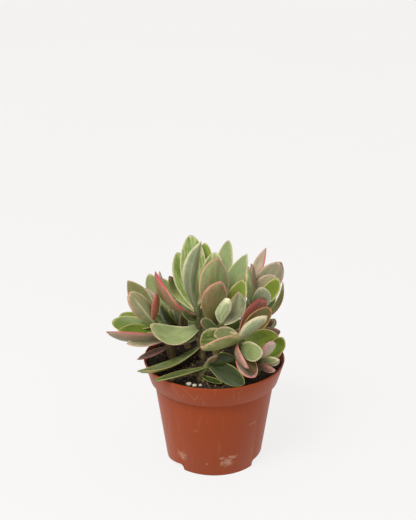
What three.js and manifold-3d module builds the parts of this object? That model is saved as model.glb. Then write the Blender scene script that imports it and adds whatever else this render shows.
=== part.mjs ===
// A variegated jade plant in a round nursery pot.
// Millimetres, +Z up, the origin on the standing plane under the middle of the pot.
// The pot is a 10.5 cm nursery pot, measured over its rim. The plant is a group of rooted
// cuttings: each leafy stem is one solid of a stem and its fleshy leaves, standing in a hole
// in the soil.
import * as THREE from "three";
import { mergeVertices } from "three/addons/utils/BufferGeometryUtils.js";
import Module from "manifold-3d";

const wasm = await Module();
wasm.setup();

// Pot
const RIM_DIAMETER = 105;
const POT_HEIGHT = 81;
const COLLAR_HEIGHT = 16.5;
const COLLAR_FOOT_RADIUS = 48;
const BODY_TOP_RADIUS = 45;
const BASE_RADIUS = 36;
const WALL = 1.2;
const LIP = 1.3;
const FLOOR_HEIGHT = 5.2;
const FLOOR_THICKNESS = 1.4;
const FOOT_RIM_WALL = 1.6;
const PAD_RADIUS = 9;
const PAD_SLOPE = 1.5;
const POT_SIDES = 44;
const STEP_ROUNDING = 0.6;
const STEP_INSET = 0.5;
const INNER_STEP_RISE = 1.4;
const LIP_ROUNDING = 0.8;
const LIP_TAPER = 0.3;
// A notch in the foot ring is the turn of its middle in degrees, its width, the slope of its top
// in degrees, and how much lower than the others it sits.
const NOTCHES = [
  [214.5, 22.5, 12, 2.4],
  [345, 28.5, 0, 0],
  [97, 28.5, 0, 0],
];
const NOTCH_HEIGHT = 5;
const NOTCH_DEPTH = 12;
const DRAIN_RADIUS = 4;
const DRAIN_CIRCLE = 20;
const DRAIN_COUNT = 4;
const DRAIN_SIDES = 12;
const DRAIN_CUT_LENGTH = 20;

// Soil
const SOIL_LEVEL = 77;
const SOIL_RELIEF = 0.7;
const LUMPS_ACROSS = 5.5;
const LUMPS_BACK = 6.5;
const LUMPS_SLANTED = 4;
const SURFACE_MARGIN = 0.1;
const SOIL_RINGS = 5;
const SOIL_SIDES = 24;
const SOIL_STEP_INSET = 1.6;
const SOIL_STEP_RISE = 1;
const HOLE_SIDES = 10;
const HOLE_LENGTH = 20;
const CLEARANCE = 0.3;

// Stems and leaves
const STEM_SIDES = 8;
const STEM_FOOT_SWELL = 1.1;
const STEM_TOP_TAPER = 0.8;
const LEAF_SIDES = 8;
const LEAF_STATIONS = 7;
const LEAF_ROOT_SINK = 2;
const LEAF_THICKNESS_SHARE = 0.2;
const LEAF_BASE_SHARE = 0.24;
const LEAF_WIDEST_AT = 0.57;
const LEAF_SWELL_POWER = 1.25;
const LEAF_TIP_POWER = 2.1;
const LEAF_FOLD = 0.2;
const LEAF_TIP_LENGTH = 0.08;
const LEAF_TIP_THICKNESS = 0.3;
const LEAF_END_FLESH = 0.35;
const UPPER_SHARE = 0.25;
const LOWER_SHARE = 0.75;
const ROUNDING_POWER = 1.2;
const STATION_POWER = 1.5;

// Perlite grains that lie on the soil: x, y, size
const PERLITE = [
  [-18, -37.5, 3.2],
  [-14, -39.8, 2.6],
  [-9.8, -39.6, 1.9],
  [27, 36, 3.0],
  [-12, 43, 2.6],
  [43, 4, 2.8],
];
const GRAIN_STRETCH = [1.2, 1, 0.9];
const GRAIN_LIFT = 0.2;
const GRAIN_TILT = 0.4;
const GRAIN_TURN = 1.3;
const GRAIN_BED = 3;

// The leafy stems. A shoot is the radius of its stem, the stem's path from the foot in the
// soil to the crown, and its leaves. A leaf is: how far along the path it grows, the compass
// turn and the rise of its tip in degrees, its reach and width, its roll about its own
// length in degrees, how far its middle sags below and to the side of the straight line from
// root to tip, how pointed its tip is, and how steeply its two halves fold up where that isn't
// the usual LEAF_FOLD.
const LEAFY_STEMS = {
  stem_left: [
    {
      radius: 3.0,
      path: [[-31, 6, 70], [-34, 2, 92], [-42, -6, 108], [-45, -9, 114]],
      leaves: [
        [0.95, 169, 59, 37, 15, -70, 2, 1, 0.95],
        [0.88, -142, 55, 39, 14, 73, 1, 0, 0.6],
        [0.90, 144, -4, 35, 13, -43, 3, 0, 0.5],
        [0.80, 166, 2, 36, 15.5, -33, 3, 0, 0.55],
        [0.72, -168, 7, 32, 12.5, -30, 2, 0, 1, 0.3],
        [0.70, -149, 14, 46, 13.5, 45, 5, 1, 1, 0.3],
        [0.52, -138, 12, 38, 10, -58, 0.5, 1, 0.8, 0.3],
        [1.00, -64, 73, 27, 9.5, 30, 1.5, -0.5, 1.2],
        [1.00, 109, 45, 26, 14, -15, 1, 0, 0.8],
        [0.38, -135, -1, 32, 8.5, 0, 1, 0, 1],
      ],
    },
  ],
  stem_back_left: [
    {
      radius: 2.6,
      path: [[-19, 22, 70], [-23, 24, 90], [-29, 20, 102], [-32, 18, 110]],
      leaves: [
        [0.95, -178, 62, 36, 12, -80, 2, -3.5, 0.55],
        [1.00, -136, 72, 37, 10, -50, 2, 0, 0.8],
        [0.50, -106, 57, 37, 8, 9, 1, 0, 0.8],
        [0.40, -94, 58, 34, 8, 41, 1, 0, 0.8],
        [0.50, -125, 50, 41, 10, 10, 3.5, 2.5, 0.8],
        [1.00, 105, 28, 32, 14, 0, 2, 0, 0.8],
        [0.85, 160, 22, 28, 13, 0, 2, 0, 0.8],
        [0.75, 105, 8, 34, 14, 0, 3, 0, 0.8],
        [0.60, 165, 6, 32, 16, -55, 3, 0, 0.8],
        [0.60, -12, 4, 24, 12, 50, 1, 0, 0.8],
        [1.00, 20, 58, 20, 9, 0, 1, 0, 0.8],
        [0.45, 110, 6, 22, 11, 0, 1, 0, 0.8],
      ],
    },
  ],
  stem_centre_left: [
    {
      radius: 2.7,
      path: [[-8, 6, 70], [-11, 4, 95], [-12, 1, 112], [-13, 0, 122]],
      leaves: [
        [1.00, 105, 71, 52, 19.5, -4, 2, 0, 0.6],
        [0.95, 136, 63, 44, 17, -22, 3, -1, 0.65],
        [0.97, -73, 77, 58, 11.5, -11, 0, 6.5, 0.95],
        [0.93, 75, 63, 50, 17, 14, 2, 0, 0.65],
        [0.88, -160, 50, 49, 16, 20, 9, 1, 1],
        [0.90, 170, 52, 34, 10.5, -50, 13, 2, 0.8],
        [0.68, -145, 15, 43, 15.5, -50, 6, -6.5, 0.6],
        [0.50, -148, 18, 43, 11, -46, 4.5, -2.5, 0.8],
        [0.80, -126, 31, 22, 9, -60, 1, -0.5, 0.8],
        [0.34, -135, 1, 63, 13, 12, 6, 1.5, 0.9],
        [0.75, 75, 25, 22, 11, 0, 2, 0, 0.8],
      ],
    },
  ],
  stem_centre: [
    {
      radius: 2.8,
      path: [[3, -8, 70], [1, -10, 95], [-1, -12, 112], [-1, -13, 120]],
      leaves: [
        [0.97, 83, 67, 47, 18, 7, 1, -2, 0.6],
        [0.92, -59, 83, 52, 22, -32, 0, 1, 0.95],
        [0.97, 64, 63, 57, 14, 33, 2, 0, 0.62],
        [0.85, -73, 64, 47, 18, -17, 1, 2.5, 0.8],
        [0.90, 27, 60, 55, 14, 57, 2, 0, 0.75],
        [0.82, -6, 60, 43, 15, 88, 3, 3, 0.7],
        [0.72, 18, 12, 22, 12, 50, 1, 0, 0.8],
        [0.36, -75, 12, 15, 8, 30, 1, 0, 0.8],
      ],
    },
    {
      radius: 2.4,
      path: [[1, -10, 95], [3, -14, 106], [5, -20, 115], [5.5, -22.5, 119]],
      leaves: [
        [1.00, 37, 55, 25, 13.4, 48, 3, 4.5, 0.9],
        [1.00, -39, 70, 21, 11.5, -59, 0, 2.5, 0.55],
        [0.60, -123, 34, 29, 8.5, -80, 3, 1, 0.8],
      ],
    },
  ],
  stem_right: [
    {
      radius: 3.0,
      path: [[17, 5, 70], [18, 2, 98], [25, 4, 115], [31, 6, 127]],
      leaves: [
        [0.92, -126, 83, 32, 12, 110, 1, 0, 0.8],
        [0.85, -112, 75, 36, 12, 88, 1, 0, 0.8],
        [0.90, 17, 77, 44, 8.5, 69, 6.5, -2.5, 1],
        [0.97, 18, 53, 33, 18, 63, 2, 0, 0.75],
        [0.93, -5, 54, 26, 16, 81, 2, 0, 0.8],
        [0.88, -21, 51, 31, 12, 91, 2, 3, 0.6],
        [0.60, 2, 50, 45, 5.8, 42, 16, 2, 0.9],
        [0.80, -66, 53, 33, 13, -38, -0.5, -4.5, 0.65],
        [0.75, 70, 20, 26, 11, 0, 2, 0, 0.8],
        [0.92, 110, 50, 30, 14, 0, 2, 0, 0.8],
        [0.50, -30, 14, 18, 9, 0, 1, 0, 0.8],
      ],
    },
  ],
  stem_right_low: [
    {
      radius: 2.8,
      path: [[15, -19, 70], [17, -24, 90], [19, -26, 104], [19, -27, 109]],
      leaves: [
        [1.00, 27, 36, 30, 16, 82, 0, -1, 0.6],
        [0.97, -22, 48, 29, 14, -39, 0, 1, 0.8],
        [1.00, 42, 43, 33, 15, 62, -0.5, -1.5, 0.6],
        [0.85, 3, 12, 28, 18, 98, 2, 0, 0.7],
        [0.80, -60, 15, 31, 14, 82, 0, 1, 0.6],
        [0.85, -77, -15, 26, 12, -85, 5, 1, 0.9],
        [0.75, -58, -29, 25, 14, 43, 0, 1.5, 0.55],
        [1.00, -146, 2, 34, 20, 5, 2, 1, 0.6, 1],
        [0.90, -161, 21, 22, 11.5, -51, 1, 3.5, 0.7],
        [0.50, 30, 8, 20, 10, 0, 1, 0, 0.8],
      ],
    },
  ],
  stem_right_side: [
    {
      radius: 2.2,
      path: [[30, -20, 70], [32, -25, 84], [34, -29, 92], [35, -31, 96]],
      leaves: [
        [1.00, -67, 56, 21, 10.5, -1, 1, -1, 0.7],
        [0.90, -24, 53, 25, 11, 95, 4.5, 2, 0.6],
        [0.80, -37, 21, 17, 9, -70, 1, -0.5, 0.8],
        [0.60, -59, 16, 22, 8, -72, 1.5, 0.5, 0.9],
        [0.70, 40, 18, 22, 11, 20, 1, 0, 0.8],
      ],
    },
  ],
  stem_front_low: [
    {
      radius: 2.4,
      path: [[-12, -29, 70], [-10, -29, 79], [-6, -29, 86], [-4, -30, 91]],
      leaves: [
        [0.95, -28, -17, 31, 14, 70, 2, 0, 0.65],
        [1.00, -55, 45, 14, 8, -8, 1, 0, 0.8],
        [0.45, -43, 3, 21, 6, 10, 1, 0, 0.9],
        [1.00, -6, 12, 20, 12, -90, 1, 0, 0.8],
        [0.80, -156, -4, 41, 9.5, 8, 0.5, 0, 0.8],
      ],
    },
  ],
  stem_back: [
    {
      radius: 3.0,
      path: [[4, 28, 70], [4, 30, 86], [3, 31, 98], [2, 32, 106]],
      leaves: [
        [1.00, 30, 50, 36, 16, 0, 2, 0, 0.8],
        [1.00, -155, 50, 34, 15, 0, 2, 0, 0.8],
        [0.90, 115, 35, 40, 16, 0, 3, 0, 0.8],
        [0.75, 50, 14, 34, 15, 0, 3, 0, 0.8],
        [0.75, 160, 18, 40, 16, 0, 3, 0, 0.8],
        [0.60, 95, 8, 42, 17, 0, 3, 0, 0.8],
        [1.00, -60, 65, 32, 14, 0, 2, 0, 0.8],
        [0.60, -168, 4, 22, 11, -55, 1, 0, 0.8],
        [1.00, 130, 64, 34, 14, 0, 2, 0, 0.8],
      ],
    },
  ],
  stem_back_right: [
    {
      radius: 2.8,
      path: [[30, 18, 70], [32, 22, 86], [33, 25, 98], [33, 27, 106]],
      leaves: [
        [0.50, -53, 26, 31, 10, -71, 1, 0, 0.8],
        [0.60, -51, 39, 25, 9, -54, 1, 0, 0.8],
        [1.00, 110, 55, 32, 14, 0, 2, 0, 0.8],
        [0.90, 50, 35, 26, 13, 0, 2, 0, 0.8],
        [0.80, 90, 15, 32, 14, 0, 3, 0, 0.8],
        [0.60, 60, -4, 30, 14, 0, 3, 0, 0.8],
        [1.00, -20, 66, 24, 11, 0, 1, 0, 0.8],
        [0.60, 140, 6, 24, 12, 0, 2, 0, 0.8],
      ],
    },
  ],
};

function radians(degrees) {
  return (degrees * Math.PI) / 180;
}

function solidOf(geometry) {
  const bare = geometry.clone();
  bare.deleteAttribute("normal");
  bare.deleteAttribute("uv");
  const merged = mergeVertices(bare, 1e-4);
  const mesh = new wasm.Mesh({
    numProp: 3,
    vertProperties: new Float32Array(merged.attributes.position.array),
    triVerts: new Uint32Array(merged.index.array),
  });
  return new wasm.Manifold(mesh);
}

function geometryOf(solid) {
  const mesh = solid.getMesh();
  const geometry = new THREE.BufferGeometry();
  geometry.setAttribute("position", new THREE.BufferAttribute(mesh.vertProperties, 3));
  geometry.setIndex(new THREE.BufferAttribute(mesh.triVerts, 1));
  geometry.computeVertexNormals();
  return geometry;
}

// A turned body from radius and height pairs, with its axis along Z.
function turned(profile, sides) {
  const points = profile.map(([radius, height]) => new THREE.Vector2(radius, height));
  const geometry = new THREE.LatheGeometry(points, sides);
  geometry.rotateX(Math.PI / 2);
  return geometry;
}

// The pot's outer radius at a height, straight up the body and then up the flared collar.
function potRadius(height) {
  const step = POT_HEIGHT - COLLAR_HEIGHT;
  if (height < step) {
    return BASE_RADIUS + ((BODY_TOP_RADIUS - BASE_RADIUS) * height) / step;
  }
  const flare = RIM_DIAMETER / 2 - COLLAR_FOOT_RADIUS;
  return COLLAR_FOOT_RADIUS + (flare * (height - step)) / COLLAR_HEIGHT;
}

// A thin moulded shell that stands on a notched foot ring and on a pad in the middle of its
// floor. The floor between them is raised, with drain holes.
function makePot() {
  const step = POT_HEIGHT - COLLAR_HEIGHT;
  const floorTop = FLOOR_HEIGHT + FLOOR_THICKNESS;
  const rim = RIM_DIAMETER / 2;
  const profile = [
    [0, 0],
    [PAD_RADIUS, 0],
    [PAD_RADIUS + PAD_SLOPE, FLOOR_HEIGHT],
    [potRadius(FLOOR_HEIGHT) - FOOT_RIM_WALL, FLOOR_HEIGHT],
    [BASE_RADIUS - FOOT_RIM_WALL, 0],
    [BASE_RADIUS, 0],
    [BODY_TOP_RADIUS, step - STEP_ROUNDING],
    [COLLAR_FOOT_RADIUS - STEP_INSET, step],
    [COLLAR_FOOT_RADIUS, step + STEP_ROUNDING],
    [rim, POT_HEIGHT - LIP_ROUNDING],
    [rim - LIP_TAPER, POT_HEIGHT],
    [rim - LIP, POT_HEIGHT],
    [rim - LIP - LIP_TAPER, POT_HEIGHT - LIP_ROUNDING],
    [COLLAR_FOOT_RADIUS - WALL, step + INNER_STEP_RISE],
    [BODY_TOP_RADIUS - WALL, step - WALL],
    [potRadius(floorTop) - WALL, floorTop],
    [PAD_RADIUS + PAD_SLOPE, floorTop],
    [PAD_RADIUS, FLOOR_THICKNESS],
    [0, FLOOR_THICKNESS],
    [0, 0],
  ];
  let pot = solidOf(turned(profile, POT_SIDES));
  for (const [turn, width, slope, drop] of NOTCHES) {
    const notch = new THREE.BoxGeometry(NOTCH_DEPTH, width, 2 * NOTCH_HEIGHT);
    notch.rotateX(radians(slope));
    notch.translate(BASE_RADIUS, 0, -drop);
    notch.rotateZ(radians(turn));
    pot = pot.subtract(solidOf(notch));
  }
  for (let hole = 0; hole < DRAIN_COUNT; hole += 1) {
    const drain = new THREE.CylinderGeometry(DRAIN_RADIUS, DRAIN_RADIUS, DRAIN_CUT_LENGTH, DRAIN_SIDES);
    drain.rotateX(Math.PI / 2);
    drain.translate(DRAIN_CIRCLE, 0, 0);
    drain.rotateZ(radians((360 / DRAIN_COUNT) * (hole + 0.5)));
    pot = pot.subtract(solidOf(drain));
  }
  return geometryOf(pot);
}

// The soil's surface is low and lumpy, pressed by hand.
function soilHeight(x, y) {
  const lumps = Math.sin(x / LUMPS_ACROSS + 1) * Math.cos(y / LUMPS_BACK);
  const ripples = 0.5 * Math.sin((x - y) / LUMPS_SLANTED);
  return SOIL_LEVEL + (SOIL_RELIEF * (lumps + ripples)) / 1.5;
}

function stemRing(path, index) {
  const here = new THREE.Vector3(...path[index]);
  const before = new THREE.Vector3(...path[Math.max(index - 1, 0)]);
  const after = new THREE.Vector3(...path[Math.min(index + 1, path.length - 1)]);
  const along = after.clone().sub(before).normalize();
  const side = new THREE.Vector3(0, 1, 0).cross(along).normalize();
  const front = along.clone().cross(side);
  return { here, side, front };
}

// A stem is a cylinder whose rings are moved on to the points of its path.
function stemSolid(shoot) {
  const last = shoot.path.length - 1;
  const geometry = new THREE.CylinderGeometry(1, 1, last, STEM_SIDES, last);
  geometry.rotateX(Math.PI / 2);
  const points = geometry.attributes.position;
  for (let i = 0; i < points.count; i += 1) {
    const index = Math.round(points.getZ(i) + last / 2);
    const { here, side, front } = stemRing(shoot.path, index);
    const share = index / last;
    const radius = shoot.radius * (STEM_FOOT_SWELL + (STEM_TOP_TAPER - STEM_FOOT_SWELL) * share);
    here.addScaledVector(side, radius * points.getX(i));
    here.addScaledVector(front, radius * points.getY(i));
    points.setXYZ(i, here.x, here.y, here.z);
  }
  return solidOf(geometry);
}

function pointAlong(path, share) {
  const points = path.map((place) => new THREE.Vector3(...place));
  const steps = points.slice(1).map((point, i) => point.distanceTo(points[i]));
  let rest = share * steps.reduce((sum, step) => sum + step, 0);
  let index = 0;
  while (index < steps.length - 1 && rest > steps[index]) {
    rest -= steps[index];
    index += 1;
  }
  return points[index].clone().lerp(points[index + 1], rest / steps[index]);
}

// Half of a jade leaf's width, from 0 at the tip to 1 at its widest.
function leafOutline(t, point) {
  if (t < LEAF_WIDEST_AT) {
    const swell = Math.sin((Math.PI / 2) * (t / LEAF_WIDEST_AT)) ** LEAF_SWELL_POWER;
    return LEAF_BASE_SHARE + (1 - LEAF_BASE_SHARE) * swell;
  }
  const toTip = (t - LEAF_WIDEST_AT) / (1 - LEAF_WIDEST_AT);
  return Math.max(0, 1 - toTip ** LEAF_TIP_POWER) ** point;
}

// A leaf is a sphere whose poles are its root and its tip, drawn out to the leaf's outline:
// flatter above than below, folded a little along its middle, sagging between its ends.
function leafSolid(shoot, leaf) {
  const [at, turn, rise, reach, width, roll, bow, sweep, point, fold = LEAF_FOLD] = leaf;
  const length = reach + LEAF_ROOT_SINK;
  const level = Math.cos(radians(rise));
  const along = new THREE.Vector3(
    level * Math.cos(radians(turn)),
    level * Math.sin(radians(turn)),
    Math.sin(radians(rise)),
  );
  const root = pointAlong(shoot.path, at).addScaledVector(along, -LEAF_ROOT_SINK);
  const face = new THREE.Vector3(0, 0, 1).addScaledVector(along, -along.z).normalize();
  face.applyAxisAngle(along, radians(roll));
  const side = along.clone().cross(face);

  const geometry = new THREE.SphereGeometry(1, LEAF_SIDES, LEAF_STATIONS);
  const points = geometry.attributes.position;
  for (let i = 0; i < points.count; i += 1) {
    const polar = Math.acos(THREE.MathUtils.clamp(points.getY(i), -1, 1));
    const t = 1 - (polar / Math.PI) ** STATION_POWER;
    const ring = Math.sin(polar);
    const across = ring > 1e-6 ? points.getX(i) / ring : 0;
    const up = ring > 1e-6 ? points.getZ(i) / ring : 0;

    const sag = 4 * t * (1 - t);
    const slope = 4 * (1 - 2 * t);
    const ahead = along.clone().multiplyScalar(length);
    ahead.addScaledVector(face, -bow * slope).addScaledVector(side, sweep * slope).normalize();
    const upper = face.clone().addScaledVector(ahead, -face.dot(ahead)).normalize();
    const beside = ahead.clone().cross(upper);

    const outline = leafOutline(t, point);
    const half = (width / 2) * outline;
    const fromTip = (1 - t) / LEAF_TIP_LENGTH;
    const tipTaper = Math.min(1, LEAF_TIP_THICKNESS + (1 - LEAF_TIP_THICKNESS) * fromTip);
    const fullness = LEAF_END_FLESH + (1 - LEAF_END_FLESH) * Math.sqrt(outline);
    const flesh = LEAF_THICKNESS_SHARE * width * fullness * tipTaper;
    const height = (up > 0 ? UPPER_SHARE : -LOWER_SHARE) * flesh * Math.abs(up) ** ROUNDING_POWER;

    const place = root.clone().addScaledVector(along, length * t);
    place.addScaledVector(face, -bow * sag).addScaledVector(side, sweep * sag);
    place.addScaledVector(beside, half * across);
    place.addScaledVector(upper, fold * half * across * across + height);
    points.setXYZ(i, place.x, place.y, place.z);
  }
  return solidOf(geometry);
}

function makeLeafyStem(shoots) {
  const solids = [];
  for (const shoot of shoots) {
    solids.push(stemSolid(shoot));
    for (const leaf of shoot.leaves) {
      solids.push(leafSolid(shoot, leaf));
    }
  }
  return geometryOf(solids.reduce((whole, solid) => whole.add(solid)));
}

// The hole that a stem stands in: a plain cylinder along the stem's first stretch.
function stemHole(shoot) {
  const foot = new THREE.Vector3(...shoot.path[0]);
  const next = new THREE.Vector3(...shoot.path[1]);
  const along = next.clone().sub(foot).normalize();
  const radius = shoot.radius * STEM_FOOT_SWELL + CLEARANCE;
  const geometry = new THREE.CylinderGeometry(radius, radius, HOLE_LENGTH, HOLE_SIDES);
  geometry.translate(0, HOLE_LENGTH / 2 - CLEARANCE, 0);
  geometry.applyQuaternion(
    new THREE.Quaternion().setFromUnitVectors(new THREE.Vector3(0, 1, 0), along),
  );
  geometry.translate(foot.x, foot.y, foot.z);
  return solidOf(geometry);
}

function makeSoil() {
  const step = POT_HEIGHT - COLLAR_HEIGHT;
  const bottom = FLOOR_HEIGHT + FLOOR_THICKNESS + CLEARANCE;
  const inside = WALL + 2 * CLEARANCE;
  const edge = potRadius(SOIL_LEVEL) - inside;
  const profile = [
    [0, FLOOR_THICKNESS + CLEARANCE],
    [PAD_RADIUS - inside, FLOOR_THICKNESS + CLEARANCE],
    [PAD_RADIUS, bottom],
    [potRadius(bottom) - inside, bottom],
    [BODY_TOP_RADIUS - inside, step - SOIL_STEP_INSET],
    [COLLAR_FOOT_RADIUS - inside, step + SOIL_STEP_RISE],
  ];
  for (let ring = 0; ring <= SOIL_RINGS; ring += 1) {
    profile.push([edge * (1 - ring / SOIL_RINGS), SOIL_LEVEL]);
  }
  const geometry = turned(profile, SOIL_SIDES);
  const points = geometry.attributes.position;
  for (let i = 0; i < points.count; i += 1) {
    if (points.getZ(i) > SOIL_LEVEL - SURFACE_MARGIN) {
      points.setZ(i, soilHeight(points.getX(i), points.getY(i)));
    }
  }
  let soil = solidOf(geometry);
  for (const shoots of Object.values(LEAFY_STEMS)) {
    soil = soil.subtract(stemHole(shoots[0]));
  }
  return geometryOf(soil);
}

// A grain of perlite: a knobbly lump, cut flat underneath, resting on the soil.
function makeGrain([x, y, size], index) {
  const geometry = new THREE.IcosahedronGeometry(size / 2, 0);
  geometry.rotateX(GRAIN_TILT + index);
  geometry.rotateZ(GRAIN_TURN * index);
  geometry.scale(...GRAIN_STRETCH);
  geometry.translate(x, y, soilHeight(x, y) + GRAIN_LIFT * size + 2 * CLEARANCE);
  const bed = new THREE.BoxGeometry(GRAIN_BED * size, GRAIN_BED * size, size);
  bed.translate(x, y, soilHeight(x, y) + 2 * CLEARANCE - 0.5 * size);
  return geometryOf(solidOf(geometry).subtract(solidOf(bed)));
}

function finish(color, roughness) {
  return new THREE.MeshStandardMaterial({ color, roughness, metalness: 0 });
}

const plant = new THREE.Group();

function place(name, geometry, material) {
  const mesh = new THREE.Mesh(geometry, material);
  mesh.name = name;
  plant.add(mesh);
}

place("pot", makePot(), finish("#95492f", 0.5));
place("soil", makeSoil(), finish("#2b2018", 0.95));
for (const [name, shoots] of Object.entries(LEAFY_STEMS)) {
  place(name, makeLeafyStem(shoots), finish("#86985e", 0.42));
}
PERLITE.forEach((grain, index) => {
  place(`perlite_${index + 1}`, makeGrain(grain, index), finish("#d8cdb4", 0.9));
});

export default plant;
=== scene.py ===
# %% [markdown]
# A variegated jade plant in a nursery pot
#
# The plant is several rooted cuttings of a jade plant, a succulent with thick, waxy leaves that
# grow in opposite pairs. It stands in a round terracotta-coloured plastic pot. The solids of
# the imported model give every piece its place; this script gives each one its fine shape and
# its finish. Everything is in metres, with the pot's foot at the origin and +Z up.

# %% Load the frame
import math
import random
from collections import namedtuple

import bmesh
import bpy
from mathutils import Matrix, Vector, noise


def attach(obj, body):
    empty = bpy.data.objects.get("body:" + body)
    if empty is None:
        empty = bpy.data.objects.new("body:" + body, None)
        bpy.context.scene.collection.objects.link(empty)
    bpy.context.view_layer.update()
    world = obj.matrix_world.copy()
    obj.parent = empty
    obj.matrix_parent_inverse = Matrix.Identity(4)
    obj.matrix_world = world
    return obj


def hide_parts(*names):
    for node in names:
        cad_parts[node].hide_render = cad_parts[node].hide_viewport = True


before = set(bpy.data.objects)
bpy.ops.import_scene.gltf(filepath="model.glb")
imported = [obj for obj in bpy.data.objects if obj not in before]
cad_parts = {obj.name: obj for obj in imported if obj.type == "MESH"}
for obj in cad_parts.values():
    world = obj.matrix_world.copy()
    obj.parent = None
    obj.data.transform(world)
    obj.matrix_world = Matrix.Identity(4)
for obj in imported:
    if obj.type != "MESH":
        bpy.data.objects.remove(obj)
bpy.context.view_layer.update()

MM = 0.001

# %% [markdown]
# The camera stands a little above the plant and looks down on it by about 21 degrees, so that
# the rim is a flat ellipse. A long lens keeps the pot's sides nearly straight. The place of the
# camera was worked out from the ellipses of the rim and the foot.

# %% Camera
CAMERA_PLACE = Vector((0, -0.7014, 0.4297))
CAMERA_AIM = Vector((-0.00458, 0, 0.1578))
CAMERA_LENS = 72.35
CAMERA_SENSOR = 36

camera_data = bpy.data.cameras.new("camera")
camera_data.lens = CAMERA_LENS
camera_data.sensor_width = CAMERA_SENSOR
camera_data.clip_start = 0.05
camera_data.clip_end = 30
camera = bpy.data.objects.new("camera", camera_data)
camera.location = CAMERA_PLACE
camera.rotation_euler = (CAMERA_AIM - CAMERA_PLACE).to_track_quat("-Z", "Y").to_euler()
bpy.context.scene.collection.objects.link(camera)
bpy.context.scene.camera = camera
print("camera looks down by", round(math.degrees(math.pi / 2 - camera.rotation_euler.x), 1), "degrees")

# %% [markdown]
# A material is a small graph of nodes. One function adds a node, sets it and links it, and one
# turns the sRGB colour that an eye or a screen reads into the linear colour that light adds up in.

# %% Two small helpers
def linear(code):
    """The linear colour of a hex code such as #94492F."""
    channels = [int(code[i : i + 2], 16) / 255 for i in (1, 3, 5)]
    return tuple(
        c / 12.92 if c <= 0.04045 else ((c + 0.055) / 1.055) ** 2.4 for c in channels
    ) + (1.0,)


def add_node(tree, kind, settings=None, inputs=None):
    """Adds a node. An input is a value, or the output socket that feeds it."""
    node = tree.nodes.new(kind)
    for name, value in (settings or {}).items():
        setattr(node, name, value)
    for name, value in (inputs or {}).items():
        if isinstance(value, bpy.types.NodeSocket):
            tree.links.new(value, node.inputs[name])
        else:
            node.inputs[name].default_value = value
    return node


def new_material(name):
    material = bpy.data.materials.new(name)
    material.use_nodes = True
    material.node_tree.nodes.clear()
    return material, material.node_tree


def finish_material(tree, surface):
    add_node(tree, "ShaderNodeOutputMaterial", {}, {"Surface": surface.outputs[0]})


# %% [markdown]
# The light is that of a white studio: a bright, even surround, one large soft lamp above and a
# little to the left, and a pale floor that runs back past the edge of the picture. The floor is
# a light table: most of its brightness is its own, so that the shadows at the pot's foot stay
# as faint as in a product picture.

# %% Light and floor
SURROUND_LIGHT = 0.62
LAMP_PLACE = Vector((-0.55, -0.75, 1.35))
LAMP_SIZE = 0.7
LAMP_POWER = 19
FLOOR_SIZE = 6.0
FLOOR_DROP = 0.0001
FLOOR_GLOW = 0.815

world = bpy.data.worlds.new("studio")
bpy.context.scene.world = world
world.use_nodes = True
world.node_tree.nodes["Background"].inputs["Color"].default_value = linear("#FFFEFD")
world.node_tree.nodes["Background"].inputs["Strength"].default_value = SURROUND_LIGHT

lamp_data = bpy.data.lights.new("lamp", "AREA")
lamp_data.shape = "DISK"
lamp_data.size = LAMP_SIZE
lamp_data.energy = LAMP_POWER
lamp = bpy.data.objects.new("lamp", lamp_data)
lamp.location = LAMP_PLACE
lamp.rotation_euler = (Vector((0, 0, 0.1)) - LAMP_PLACE).to_track_quat("-Z", "Y").to_euler()
bpy.context.scene.collection.objects.link(lamp)

# Opal glass over lamps: matt and nearly white, with the faintest mottle of painted soft shadow.
floor_material, tree = new_material("opal_light_table")
place = add_node(tree, "ShaderNodeTexCoord")
painted_shadow_mottle = add_node(
    tree, "ShaderNodeTexNoise", {},
    {"Vector": place.outputs["Object"], "Scale": 2.2, "Detail": 1.0},
)
# Painted shadow: broad, faint blotches where the floor's colour darkens a little.
tone = add_node(
    tree, "ShaderNodeMix", {"data_type": "RGBA"},
    {0: painted_shadow_mottle.outputs["Fac"], 6: linear("#565555"), 7: linear("#5C5B5B")},
)
board = add_node(
    tree, "ShaderNodeBsdfPrincipled", {},
    {"Base Color": tone.outputs[2], "Roughness": 0.9, "Specular IOR Level": 0.1,
     "Emission Color": linear("#FFFEFD"), "Emission Strength": FLOOR_GLOW},
)
finish_material(tree, board)

shape = bmesh.new()
bmesh.ops.create_grid(shape, x_segments=1, y_segments=1, size=FLOOR_SIZE)
bmesh.ops.translate(shape, verts=shape.verts, vec=(0, 0, -FLOOR_DROP))
floor_mesh = bpy.data.meshes.new("floor")
shape.to_mesh(floor_mesh)
shape.free()
floor_mesh.materials.append(floor_material)
floor = bpy.data.objects.new("floor", floor_mesh)
bpy.context.scene.collection.objects.link(floor)

bpy.context.scene.view_settings.view_transform = "Standard"
bpy.context.scene.view_settings.look = "None"


# %% [markdown]
# Every finished piece becomes one object whose place is in its mesh. A small function turns a
# bmesh into such an object, makes its faces smooth but for the sharp corners, lets it ride on
# the part's one body, and hides the solids that it stands for.

# %% From a bmesh to a piece
def make_piece(name, shape, materials, nodes=(), sharp=40):
    mesh = bpy.data.meshes.new(name)
    shape.to_mesh(mesh)
    shape.free()
    for material in materials:
        mesh.materials.append(material)
    piece = bpy.data.objects.new(name, mesh)
    bpy.context.scene.collection.objects.link(piece)
    smooth_faces(piece, sharp)
    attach(piece, "root")
    if nodes:
        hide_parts(*nodes)
    print(name, len(mesh.polygons), "faces")
    return piece


def smooth_faces(piece, sharp):
    piece.data.polygons.foreach_set("use_smooth", [True] * len(piece.data.polygons))
    piece.data.set_sharp_from_angle(angle=math.radians(sharp))


# %% [markdown]
# The pot is a thin shell of polypropylene. On the real one the plastic is blown or pressed into
# a mould, so its walls are all of one thickness, its corners are soft, and its collar flares out
# above a small step where one pot hangs in the next. A turned profile gives all of that: the
# outline is drawn once, as pairs of radius and height, and spun round the axis.

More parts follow.
